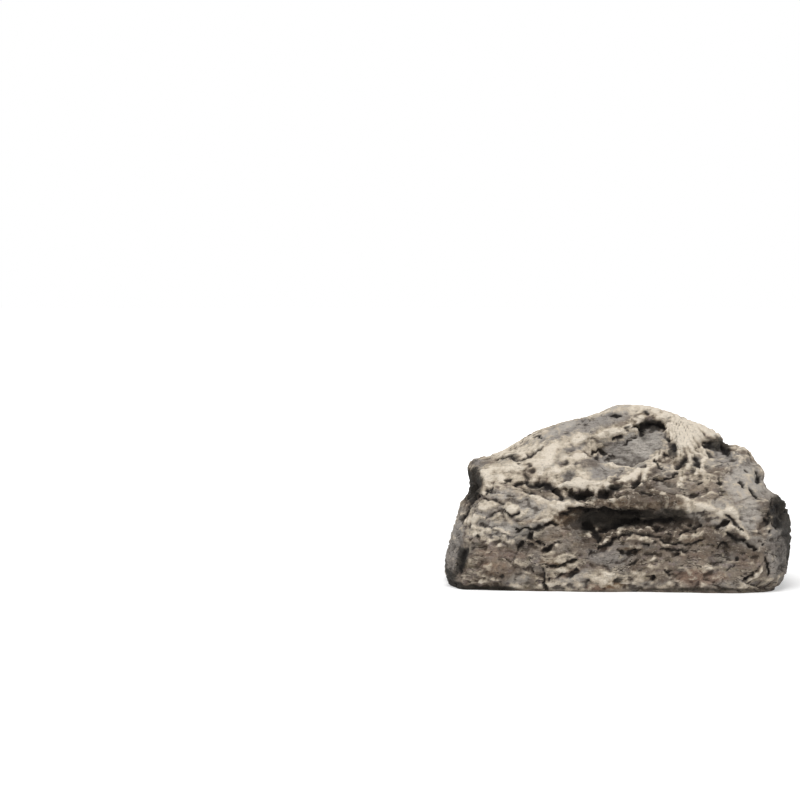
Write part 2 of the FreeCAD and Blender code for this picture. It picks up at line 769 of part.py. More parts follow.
def make_screw():
    """One countersunk self-tapping screw, standing on its head in the frame's first seat."""
    body = new_body("frame_screw")
    head_r, shank_r = "sizes.head_diameter / 2", "sizes.screw_diameter / 2"
    sketch = body.newObject("Sketcher::SketchObject", "profile")
    sketch.AttachmentSupport = (base_plane(body, "XZ_Plane"), "")
    sketch.MapMode = "FlatFace"
    polygon(
        sketch,
        (
            ("0", "0"),
            (head_r, "0"),
            (shank_r, "sizes.head_height"),
            (shank_r, "sizes.screw_length - sizes.screw_point"),
            ("0", "sizes.screw_length"),
        ),
    )
    turned = body.newObject("PartDesign::Revolution", "turned")
    turned.Profile = sketch
    turned.ReferenceAxis = (sketch, ["V_Axis"])
    turned.Angle = 360
    DOC.recompute()
    span, width = "sizes.driver_span / 2", "sizes.driver_width / 2"
    for name, long, short in (("driver_slot", span, width), ("driver_cross", width, span)):
        slot = rectangle(new_sketch(body, f"{name}_sketch"), f"-{long}", long, f"-{short}", short)
        pocket(body, name, slot, "sizes.driver_depth")
    x, y = screw_places()[0]
    for axis, place in zip("xyz", (x, y, WEB_BOTTOM)):
        body.setExpression(f"Placement.Base.{axis}", place)
    DOC.recompute()
    return body


def make_frame_screws():
    """The four identical screws, as one group of separate solids."""
    screw = make_screw()
    front = DOC.addObject("Part::Mirroring", "front_screw")
    front.Source = screw
    front.Normal = FreeCAD.Vector(0, 1, 0)
    group = [screw, front]
    for name, source in (("far_back_screw", screw), ("far_front_screw", front)):
        far = DOC.addObject("Part::Mirroring", name)
        far.Source = source
        far.Normal = FreeCAD.Vector(1, 0, 0)
        far.setExpression("Base.x", WINDOW_X)
        group.append(far)
    screws = DOC.addObject("Part::Compound", "frame_screws")
    screws.Links = group
    screws.Label = "frame_screws"
    DOC.recompute()
    return screws


def check(parts):
    """Stops on any failed object, and on any sub-part that isn't a valid solid."""
    for thing in DOC.Objects:
        if {"Invalid", "Error"} & set(thing.State):
            raise RuntimeError(f"{thing.Label} failed: {thing.State}")
    for part in parts:
        shape = part.Shape
        if shape.isNull() or not shape.isValid() or not shape.Solids:
            raise RuntimeError(f"{part.Label} has no valid solid")
        box = shape.BoundBox
        print(
            f"{part.Label}: {len(shape.Solids)} solid(s), {shape.Volume:.0f} mm3, "
            f"X {box.XMin:.2f} to {box.XMax:.2f}, Y {box.YMin:.2f} to {box.YMax:.2f}, "
            f"Z {box.ZMin:.2f} to {box.ZMax:.2f}"
        )


def main():
    parts = [
        make_rock_shell(),
        make_key_tray(),
        make_frame_gasket(),
        make_key_pad(),
        make_door_frame(),
        make_slide_door(),
        make_frame_screws(),
    ]
    DOC.recompute()
    check(parts)
    os.makedirs("parts", exist_ok=True)
    for part in parts:
        part.Shape.exportStep(f"parts/{part.Label}.step")
    travel = value(f"{TRACK_END} - {DOOR_START} - sizes.lug_length")
    print(f"the door's lugs meet the ends of their tracks after {travel:.2f} mm")


main()
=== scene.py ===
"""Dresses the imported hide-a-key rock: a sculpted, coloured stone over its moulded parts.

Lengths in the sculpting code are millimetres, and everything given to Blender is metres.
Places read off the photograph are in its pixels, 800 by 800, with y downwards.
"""

import math

import bmesh
import bpy
import numpy as np
from mathutils import Matrix, Vector
from mathutils.bvhtree import BVHTree


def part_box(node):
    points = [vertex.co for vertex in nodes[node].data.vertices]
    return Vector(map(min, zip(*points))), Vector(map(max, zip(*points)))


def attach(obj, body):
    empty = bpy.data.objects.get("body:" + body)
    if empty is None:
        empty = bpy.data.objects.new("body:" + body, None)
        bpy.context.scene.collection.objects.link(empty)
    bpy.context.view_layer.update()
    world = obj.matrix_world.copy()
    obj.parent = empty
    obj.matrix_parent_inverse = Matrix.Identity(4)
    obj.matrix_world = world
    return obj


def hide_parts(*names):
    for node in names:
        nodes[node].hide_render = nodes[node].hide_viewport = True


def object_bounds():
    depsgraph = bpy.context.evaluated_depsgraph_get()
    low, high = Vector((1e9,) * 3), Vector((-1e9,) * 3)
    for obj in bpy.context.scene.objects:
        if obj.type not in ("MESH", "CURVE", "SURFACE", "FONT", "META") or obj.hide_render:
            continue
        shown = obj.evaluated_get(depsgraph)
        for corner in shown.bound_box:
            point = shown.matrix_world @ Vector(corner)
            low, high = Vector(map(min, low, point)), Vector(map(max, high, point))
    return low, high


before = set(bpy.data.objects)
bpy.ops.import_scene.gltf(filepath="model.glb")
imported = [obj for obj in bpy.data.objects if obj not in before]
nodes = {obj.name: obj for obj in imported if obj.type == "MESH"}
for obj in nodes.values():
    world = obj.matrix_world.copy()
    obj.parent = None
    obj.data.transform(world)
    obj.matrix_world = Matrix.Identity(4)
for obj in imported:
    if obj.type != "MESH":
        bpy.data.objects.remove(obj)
cad_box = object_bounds()
scene = bpy.context.scene
MM = 0.001

# ---------------- camera

PHOTO = 800.0  # the photograph's width and height in pixels
FOCAL_PX = 2650.0
PX_PER_MM = 4.02  # at the stone's distance
SENSOR = 36.0
CAMERA_AT = np.array((0.0, -660.0, 75.0))
CAMERA_YAW = math.radians(4.69)
CAMERA_PITCH = math.radians(2.6)
FORWARD = np.array(
    (
        -math.sin(CAMERA_YAW) * math.cos(CAMERA_PITCH),
        math.cos(CAMERA_YAW) * math.cos(CAMERA_PITCH),
        -math.sin(CAMERA_PITCH),
    )
)
RIGHT = np.array((math.cos(CAMERA_YAW), math.sin(CAMERA_YAW), 0.0))
UP = np.cross(RIGHT, FORWARD)


def linked(name, data):
    """An object with this data, in the scene."""
    thing = bpy.data.objects.new(name, data)
    scene.collection.objects.link(thing)
    return thing


def mesh_object(name, points, faces):
    mesh = bpy.data.meshes.new(name)
    mesh.from_pydata(points, [], faces)
    return linked(name, mesh)


def make_camera():
    data = bpy.data.cameras.new("camera")
    data.sensor_width = SENSOR
    data.lens = FOCAL_PX * SENSOR / PHOTO
    data.clip_start = 0.01
    turn = Matrix((RIGHT, UP, -FORWARD)).transposed().to_4x4()
    scene.camera = linked("camera", data)
    scene.camera.matrix_world = Matrix.Translation(Vector(CAMERA_AT) * MM) @ turn


def photo_place(points):
    """Where points, in millimetres, fall in the photograph."""
    seen = points - CAMERA_AT
    depth = seen @ FORWARD
    x, y = FOCAL_PX * (seen @ RIGHT) / depth, FOCAL_PX * (seen @ UP) / depth
    return PHOTO / 2 + x, PHOTO / 2 - y


def facing_camera(points, normals, low, high):
    """From 0 where the surface is turned from the camera to 1 where it faces it."""
    sight = CAMERA_AT - points
    sight /= lengths(sight)[:, None]
    return smooth(dot(normals, sight), low, high)


# ---------------- surfaces and fields


def smooth(a, low, high):
    t = np.clip((a - low) / (high - low), 0, 1)
    return t * t * (3 - 2 * t)


def dot(a, b):
    return np.einsum("ij,ij->i", a, b)


def lengths(vectors):
    return np.sqrt(dot(vectors, vectors))


class Surface:
    """A fine even mesh whose points are moved about; lengths are millimetres."""

    def __init__(self, points, quads, spacing):
        self.points = points
        self.quads = quads
        self.spacing = spacing
        pairs, _ = self.sides()
        self.ends = np.concatenate((pairs[:, 0], pairs[:, 1]))
        self.others = np.concatenate((pairs[:, 1], pairs[:, 0]))
        self.degree = np.bincount(self.ends, minlength=len(points)).astype(float)

    def sides(self):
        """The squares' sides, each given once, and how many squares share it."""
        pairs = np.concatenate([self.quads[:, [k, (k + 1) % 4]] for k in range(4)])
        return np.unique(np.sort(pairs, axis=1), axis=0, return_counts=True)

    def rim(self):
        """Which points lie on the open edge round the base."""
        pairs, times = self.sides()
        rim = np.zeros(len(self.points), bool)
        rim[pairs[times == 1]] = True
        return rim

    def blur(self, field, sigma):
        """Spreads a field of numbers or vectors over about sigma millimetres."""
        rounds = max(1, round(2.5 * (sigma / self.spacing) ** 2))
        columns = field.reshape(len(field), -1).T.copy()
        for column in columns:
            for _ in range(rounds):
                near = np.bincount(self.ends, column[self.others], len(column)) / self.degree
                column += 0.8 * (near - column)
        return columns.T.reshape(field.shape)

    def normals(self, points=None):
        points = self.points if points is None else points
        a, b, c, d = (points[self.quads[:, k]] for k in range(4))
        face = np.cross(c - a, d - b)
        total = np.stack(
            [
                sum(np.bincount(self.quads[:, k], face[:, axis], len(points)) for k in range(4))
                for axis in range(3)
            ],
            axis=1,
        )
        return total / (lengths(total)[:, None] + 1e-12)


NOISE_SIZE = 256
_rng = np.random.default_rng(41)
_hash = np.tile(_rng.permutation(NOISE_SIZE), 2)
_slopes = _rng.normal(size=(NOISE_SIZE, 3))
_slopes /= np.linalg.norm(_slopes, axis=1, keepdims=True)
_offsets = _rng.random((NOISE_SIZE, 3))
_tones = _rng.random(NOISE_SIZE)


def lattice(cell):
    c = cell % NOISE_SIZE
    return _hash[_hash[_hash[c[:, 0]] + c[:, 1]] + c[:, 2]]


def perlin(points, size, seed):
    """Gradient noise of about -0.7 to 0.7, whose lumps are about size apart."""
    q = points / size + np.array((17.3, 5.9, 11.1)) * (seed + 1)
    cell = np.floor(q).astype(int)
    f = q - cell
    w = f * f * f * (f * (f * 6 - 15) + 10)
    total = np.zeros(len(points))
    for corner in range(8):
        step = np.array((corner & 1, corner >> 1 & 1, corner >> 2 & 1))
        value = dot(_slopes[lattice(cell + step)], f - step)
        total += np.where(step, w, 1 - w).prod(axis=1) * value
    return total


def crooked(points, reach, size, seed):
    """Points moved about by noise, so that what is made from them wanders."""
    return points + reach * np.stack([perlin(points, size, seed + k) for k in range(3)], axis=1)


def fractal(points, size, octaves, gain, seed):
    total, weight = 0.0, 1.0
    for k in range(octaves):
        total = total + weight * perlin(points, size / 2**k, seed + 7 * k)
        weight *= gain
    return total


def ridged(points, size, octaves, gain, seed):
    """Sharp crests with round valleys, about 0 to 1."""
    total, weight, most = 0.0, 1.0, 0.0
    for k in range(octaves):
        crest = 1 - np.abs(perlin(points, size / 2**k, seed + 5 * k)) * 2.2
        total = total + weight * np.clip(crest, 0, 1) ** 2
        most += weight
        weight *= gain
    return total / most


def chips(points, size, seed):
    """A surface broken into tilted flat chips: their heights, about -1 to 1, and their tones."""
    q = points / size + np.array((3.7, 9.1, 6.3)) * (seed + 1)
    cell = np.floor(q).astype(int)
    nearest = np.full(len(points), 1e9)
    height = np.zeros(len(points))
    tone = np.zeros(len(points))
    for k in range(27):
        step = np.array((k % 3 - 1, k // 3 % 3 - 1, k // 9 - 1))
        index = lattice(cell + step)
        away = q - (cell + step + _offsets[index])
        distance = dot(away, away)
        closer = distance < nearest
        nearest = np.where(closer, distance, nearest)
        tilt = dot(_slopes[(index + 91) % NOISE_SIZE], away)
        height = np.where(closer, 1.6 * tilt + 0.5 * (_tones[index] - 0.5), height)
        tone = np.where(closer, _tones[(index + 37) % NOISE_SIZE], tone)
    return height, tone


# ---------------- what the photograph shows

# The stone's outline, clockwise from the foot of its left end.
OUTLINE = (
    (456, 589), (450, 585), (447, 581), (444, 571), (444, 560), (447, 549), (450, 537), (455, 522),
    (459, 508), (460, 502), (465, 497), (469, 490), (469, 481), (467, 470), (468, 464), (472, 459),
    (477, 457), (490, 455), (505, 449), (520, 440), (535, 431), (550, 426), (570, 420), (585, 417),
    (600, 412), (612, 406), (622, 404), (636, 404), (650, 406), (664, 410), (677, 414), (690, 420),
    (702, 424), (714, 430), (721, 435), (726, 444), (735, 444), (743, 446), (750, 451), (755, 460),
    (762, 467), (765, 473), (764, 482), (769, 490), (780, 496), (786, 503), (788, 511), (791, 521),
    (791, 540), (789, 558), (787, 570), (785, 580), (779, 587), (771, 590),
)

# Dark cracks: (half width in pixels, depth in millimetres, x, y, x, y, ...).
CRACKS = (
    (1.3, 0.7, 773, 498, 770, 506, 771, 515, 775, 523, 781, 529),
    # under the cream lip at the top left
    (1.6, 0.7, 492, 457, 500, 454, 507, 453, 511, 458, 516, 461),
    (1.5, 0.4, 512, 459, 520, 458, 527, 455, 535, 451, 543, 447),
    # the undercut below the cream slab
    (1.8, 0.7, 514, 485, 525, 482, 533, 486, 541, 483),
    (3, 1.4, 536, 483, 544, 482, 550, 486, 554, 491), (1.8, 1, 554, 491, 559, 493, 564, 498),
    (2.2, 1.7, 568, 493, 575, 495, 584, 497, 592, 496), (2, 1.4, 598, 494, 606, 496, 611, 492),
    (3.4, 1.6, 611, 491, 615, 487, 619, 485), (2, 1.4, 633, 487, 636, 483, 639, 480),
    (1.4, 0.8, 640, 491, 646, 493, 653, 495), (1.2, 0.7, 484, 494, 489, 491, 494, 488),
    (1.3, 0.4, 504, 484, 508, 481, 512, 479),
    # the black crevice above the scoop
    (2, 1.4, 633, 427, 636, 424, 638, 426),
    (3.2, 1.9, 641, 431, 644, 425, 650, 424, 657, 422, 662, 428), (1.6, 0.8, 641, 430, 643, 436),
    (1.5, 0.9, 614, 440, 618, 437, 622, 436), (1.2, 0.4, 628, 438, 636, 437),
    (1.2, 0.5, 622, 447, 627, 443, 631, 441),
    # round the eye-shaped pit
    (1.1, 0.4, 592, 455, 595, 451, 602, 450, 609, 454, 616, 457),
    # at the foot of the fan
    (2.9, 1.4, 677, 468, 681, 463, 686, 458), (2.7, 1.2, 694, 456, 696, 461, 699, 466),
    (1.4, 0.8, 655, 461, 658, 465, 663, 469), (1.2, 0.9, 654, 479, 664, 479, 672, 478, 677, 474),
    # the right-hand plateau
    (1.7, 1.1, 755, 472, 759, 477, 762, 482), (1.7, 1, 752, 488, 756, 494, 760, 499),
    (1.3, 0.8, 738, 482, 742, 484, 745, 487), (1, 0.5, 744, 468, 748, 472),
    (1.2, 0.4, 690, 497, 695, 495, 699, 493), (1.2, 0.5, 702, 513, 706, 511, 710, 511),
    # the left edge
    (1.5, 0.9, 476, 494, 472, 500, 468, 508, 464, 516, 461, 524),
    (1.4, 0.8, 504, 511, 510, 516, 519, 512), (1.2, 0.5, 480, 497, 492, 499, 505, 503),
    (1.1, 0.4, 486, 518, 495, 513, 503, 510), (1.1, 0.4, 480, 524, 495, 530, 508, 536, 518, 537),
    # the long ledge at the middle left
    (1.8, 1.2, 517, 531, 524, 528, 532, 529, 541, 527, 549, 523, 558, 524),
    (1.7, 0.9, 516, 550, 519, 546, 524, 541), (1.8, 0.9, 536, 543, 541, 543, 545, 545),
    (2, 1, 542, 552, 548, 549, 553, 545), (1.5, 0.8, 554, 542, 561, 542),
    (1.8, 0.9, 562, 514, 568, 515, 572, 513),
    # the deep recess under the ledge
    (1.9, 1.4, 568, 509, 576, 510, 590, 511, 604, 511, 620, 513, 638, 513),
    (2.6, 1.6, 584, 524, 592, 527, 598, 534, 599, 543),
    (2, 1.3, 600, 529, 612, 527, 624, 522, 638, 519),
    (1.7, 1.3, 644, 524, 650, 522, 658, 520, 666, 521, 676, 520),
    (1.6, 1, 688, 524, 694, 527, 701, 525),
    # strata below the recess
    (1.4, 0.9, 598, 549, 608, 544, 614, 540, 618, 535),
    (1.5, 0.8, 618, 534, 632, 533, 650, 534, 662, 538), (1.5, 0.9, 653, 529, 662, 529),
    (1.5, 0.8, 678, 534, 685, 530, 698, 533), (1.5, 0.8, 660, 540, 672, 543, 690, 545, 704, 541),
    (1.9, 1, 640, 543, 646, 545, 650, 546), (1.5, 0.8, 617, 551, 630, 552, 641, 551),
    (1.3, 0.7, 662, 548, 676, 550, 690, 551), (1.6, 0.9, 547, 566, 558, 566, 567, 564, 577, 560),
    (1.2, 0.4, 555, 579, 566, 573, 575, 571), (1.2, 0.7, 543, 568, 544, 578, 546, 590),
    (1, 0.4, 549, 573, 551, 583),
    # slashes at the middle right
    (1.8, 1.1, 715, 528, 721, 525, 728, 522), (1.1, 0.7, 725, 514, 731, 519, 737, 525, 743, 530),
    (2.1, 1.2, 727, 534, 733, 536, 737, 540, 745, 540), (1.4, 0.9, 742, 541, 750, 547, 757, 549),
    (1.6, 0.9, 717, 547, 723, 544, 730, 547), (1.3, 0.7, 746, 580, 752, 575, 758, 570, 763, 564),
    (1.3, 0.8, 770, 562, 771, 569, 773, 576), (1.2, 0.7, 725, 572, 730, 566, 736, 563),
    (1.3, 0.7, 664, 569, 668, 572, 671, 576), (1.5, 0.8, 581, 584, 585, 583, 588, 581),
    (1.5, 0.8, 630, 565, 634, 563, 638, 560), (1.4, 0.7, 530, 433, 535, 435, 541, 438),
)

# Raised lines: (half width in pixels, height in millimetres, share of cream, x, y, ...).
RIDGES = (
    (3, 0.8, 0.4, 497, 452, 508, 450, 520, 454, 531, 449, 545, 444),
    (4.5, 0.7, 0.4, 486, 476, 494, 467, 508, 465, 522, 469),
    (5, 0.8, 0.4, 545, 466, 556, 448, 572, 440, 588, 437),
    (3.5, 0.6, 0.4, 598, 437, 608, 434, 622, 431, 632, 429),
    (4, 0.9, 0.4, 566, 486, 580, 487, 596, 487, 606, 484, 616, 479),
    (3.6, 0.8, 0.4, 610, 480, 624, 480, 634, 476, 646, 472, 655, 464),
    (2.2, 0.5, 0.4, 638, 470, 648, 464, 657, 458), (2, 0.9, 0.4, 634, 418, 640, 420, 636, 424),
    # the fan
    (4, 0.4, 0.5, 668, 414, 675, 428, 681, 444, 681, 457),
    (4, 0.5, 0.5, 676, 416, 686, 434, 690, 450, 691, 466),
    (3, 0.6, 0.5, 684, 420, 695, 435, 702, 447, 707, 458),
    (5, 0.9, 0.4, 692, 424, 704, 428, 716, 433, 723, 438),
    (2.6, 0.9, 0.4, 681, 476, 682, 481, 679, 486),
    # the left side
    (1.6, 0.5, 0.4, 478, 500, 472, 510, 469, 524), (3, 0.8, 0.4, 507, 508, 512, 511, 517, 508),
    (2.6, 0.5, 0.4, 480, 529, 492, 534, 506, 540),
    (2.6, 0.7, 0.4, 520, 523, 533, 523, 547, 518, 560, 510),
    (2.4, 0.6, 0.4, 535, 538, 545, 536, 553, 531), (2.2, 0.7, 0.4, 590, 535, 594, 531, 598, 529),
    (3, 0.7, 0.4, 545, 560, 558, 561, 570, 557, 578, 556),
    # the ledge over the recess
    (4, 0.7, 0, 562, 506, 576, 504, 600, 504, 630, 504, 660, 506, 690, 511),
    (2.6, 0.6, 0, 676, 497, 690, 502, 704, 509, 722, 513),
    # strata
    (2, 0.9, 0.2, 600, 545, 610, 538, 617, 532, 626, 529, 640, 529, 654, 530),
    (1.6, 0.6, 0.2, 636, 517, 646, 520, 656, 525), (1.8, 0.6, 0.2, 680, 537, 692, 537, 702, 535),
    (2, 0.6, 0.2, 628, 540, 642, 538, 654, 541), (1.8, 0.6, 0.2, 616, 548, 628, 548, 640, 547),
    (2.4, 0.7, 0.2, 706, 545, 714, 542, 722, 538), (2.4, 0.8, 0.4, 727, 509, 733, 514, 738, 521),
    (2.4, 0.7, 0.4, 734, 528, 740, 532, 748, 538), (3, 0.7, 0.4, 590, 578, 602, 576, 613, 574),
    (2.6, 0.7, 0.4, 592, 586, 606, 583, 618, 580, 628, 578),
    (2.6, 0.6, 0.4, 624, 570, 634, 571, 642, 574), (2.4, 0.6, 0.4, 748, 583, 756, 577, 763, 572),
    (2, 0.5, 0.4, 716, 584, 728, 586, 744, 585), (1.8, 0.5, 0.2, 690, 553, 706, 551, 720, 553),
    (2, 0.5, 0.4, 555, 575, 566, 570, 574, 567),
)

# From here on: (x, y, half width, half height, strength, and the turn in degrees unless it is 0).
# Pits, with their depth in millimetres.
PITS = (
    (571, 575, 6, 2, 0.8, -20), (618, 580, 5, 2, 0.8, -15), (627, 426, 3, 3, 0.8),
    (615, 411, 6, 2.4, 1.1, 5), (646, 411, 2.6, 2.2, 0.6), (565, 463, 4, 2.4, 0.5, -20),
    (533, 470, 3.2, 2.6, 0.5, 30), (528, 463, 3, 1.6, 0.5, 10), (527, 477, 3, 2.4, 0.5, 60),
    (548, 474, 1.8, 1.6, 0.3), (532, 492, 2.2, 1.8, 0.8), (604, 453, 3.4, 2, 0.9, 15),
    (598, 457, 2, 2.2, 0.6), (609, 459, 4, 1.8, 0.5, -10), (669, 440, 1.8, 2, 0.8),
    (676, 438, 1, 2.4, 0.5, 10), (674, 447, 2.8, 3.4, 1.3, -30), (665, 455, 2.6, 1.4, 0.8),
    (699, 482, 2.6, 1.3, 0.8, -20), (720, 482, 3, 1.6, 0.8), (707, 488, 2.6, 1.6, 0.4, 20),
    (723, 491, 2.4, 1.3, 0.5), (731, 459, 2.6, 2.4, 0.5), (749, 453, 2.2, 2.2, 1),
    (725, 449, 2.6, 6, 1.6, -12), (708, 446, 5, 3, 0.9, 20), (478, 536, 2, 2.2, 0.9),
    (470, 538, 2.6, 1.4, 0.6), (471, 544, 2.4, 2, 0.6), (486, 542, 1.8, 1.4, 0.4),
    (530, 536, 2.8, 2.8, 1.2), (532, 544, 2.2, 1.6, 0.7), (462, 555, 4.2, 5.6, 1.2),
    (460, 567, 2.8, 7, 0.8, 20), (502, 577, 3, 2, 0.9, 20), (503, 570, 2, 1.2, 0.6),
    (507, 584, 2.6, 1.2, 0.4), (533, 570, 1.4, 1.2, 0.6), (577, 570, 2.4, 2.2, 1),
    (540, 583, 2.2, 1.3, 0.5), (596, 536, 2.4, 4.6, 1.1, -20), (670, 534, 2.2, 2, 0.8),
    (654, 542, 2, 1.8, 0.7), (677, 555, 2.6, 1.5, 0.9), (653, 578, 2.2, 1.6, 0.8, 20),
    (747, 580, 2.2, 1.6, 0.8, -10), (767, 521, 1.6, 3, 1, -10), (761, 533, 1.6, 2, 0.7),
    (771, 532, 2, 1.8, 0.7), (764, 544, 2.2, 2, 1), (755, 549, 1.6, 1.2, 0.7),
    (768, 560, 1.8, 2.2, 0.9), (737, 558, 2.8, 1.7, 0.9, 25), (590, 553, 1.6, 3, 0.5),
    (606, 556, 1.4, 1.4, 0.4), (613, 561, 1.4, 2.4, 0.4), (484, 572, 3.2, 2.4, 0.4),
    (776, 508, 4, 5, 0.8, 20), (781, 522, 5, 6, 0.9),
)

# Broad swellings and hollows, with their height in millimetres.
FORMS = (
    (556, 512, 11, 8, 1),  # the left end of the recess
    (569, 475, 7, 6.5, -0.9),  # two oval hollows in the slab
    (574, 446, 13, 4.5, -0.7, -12),
    (628, 452, 34, 17, -0.5, -30),  # the smooth scoop
    (654, 438, 16, 12, -0.4, -40),
    (535, 466, 60, 14, 0.3, -4),  # the cream slab
    (606, 468, 20, 16, -0.3), (624, 461, 18, 6, -1, -12), (608, 470, 14, 7, -0.4, -10),
    (618, 519, 60, 8, -0.9, 2),  # the recess
    (590, 535, 18, 8, -0.4, 10), (688, 519, 24, 8, -0.4, 8),
    (626, 502, 66, 6, 0.3, 1),  # the ledge over it
    (690, 440, 14, 26, 0.3, 15),  # the fan
    (712, 447, 16, 8, -0.8, 20),  # the hollow under the far ridge
    (740, 495, 26, 26, 0.4),  # the right-hand plateau
    (500, 508, 30, 16, 0.4, -10), (505, 573, 40, 9, 0.4), (610, 579, 30, 8, 0.5),
    (700, 577, 40, 9, 0.4), (742, 566, 18, 10, 0.5, -20), (757, 577, 10, 6, 0.6, -40),
    (606, 491, 30, 4, -0.4), (458, 540, 9, 40, -0.3, 15), (781, 512, 9, 14, 0.4),
)

# Smoother parts.
CALM = (
    (628, 455, 34, 18, 1, -28), (580, 428, 64, 10, 0.85, -19), (540, 466, 56, 17, 0.93, -4),
    (600, 470, 24, 12, 0.95, -10), (574, 446, 24, 10, 0.9, -12), (612, 436, 18, 6, 0.6, -10),
    (742, 495, 24, 26, 0.6), (686, 432, 19, 26, 1, 14), (600, 414, 50, 8, 0.6, -14),
    (452, 545, 9, 34, 0.2, 14), (500, 506, 28, 14, 0.3), (780, 550, 10, 34, 0.25),
)
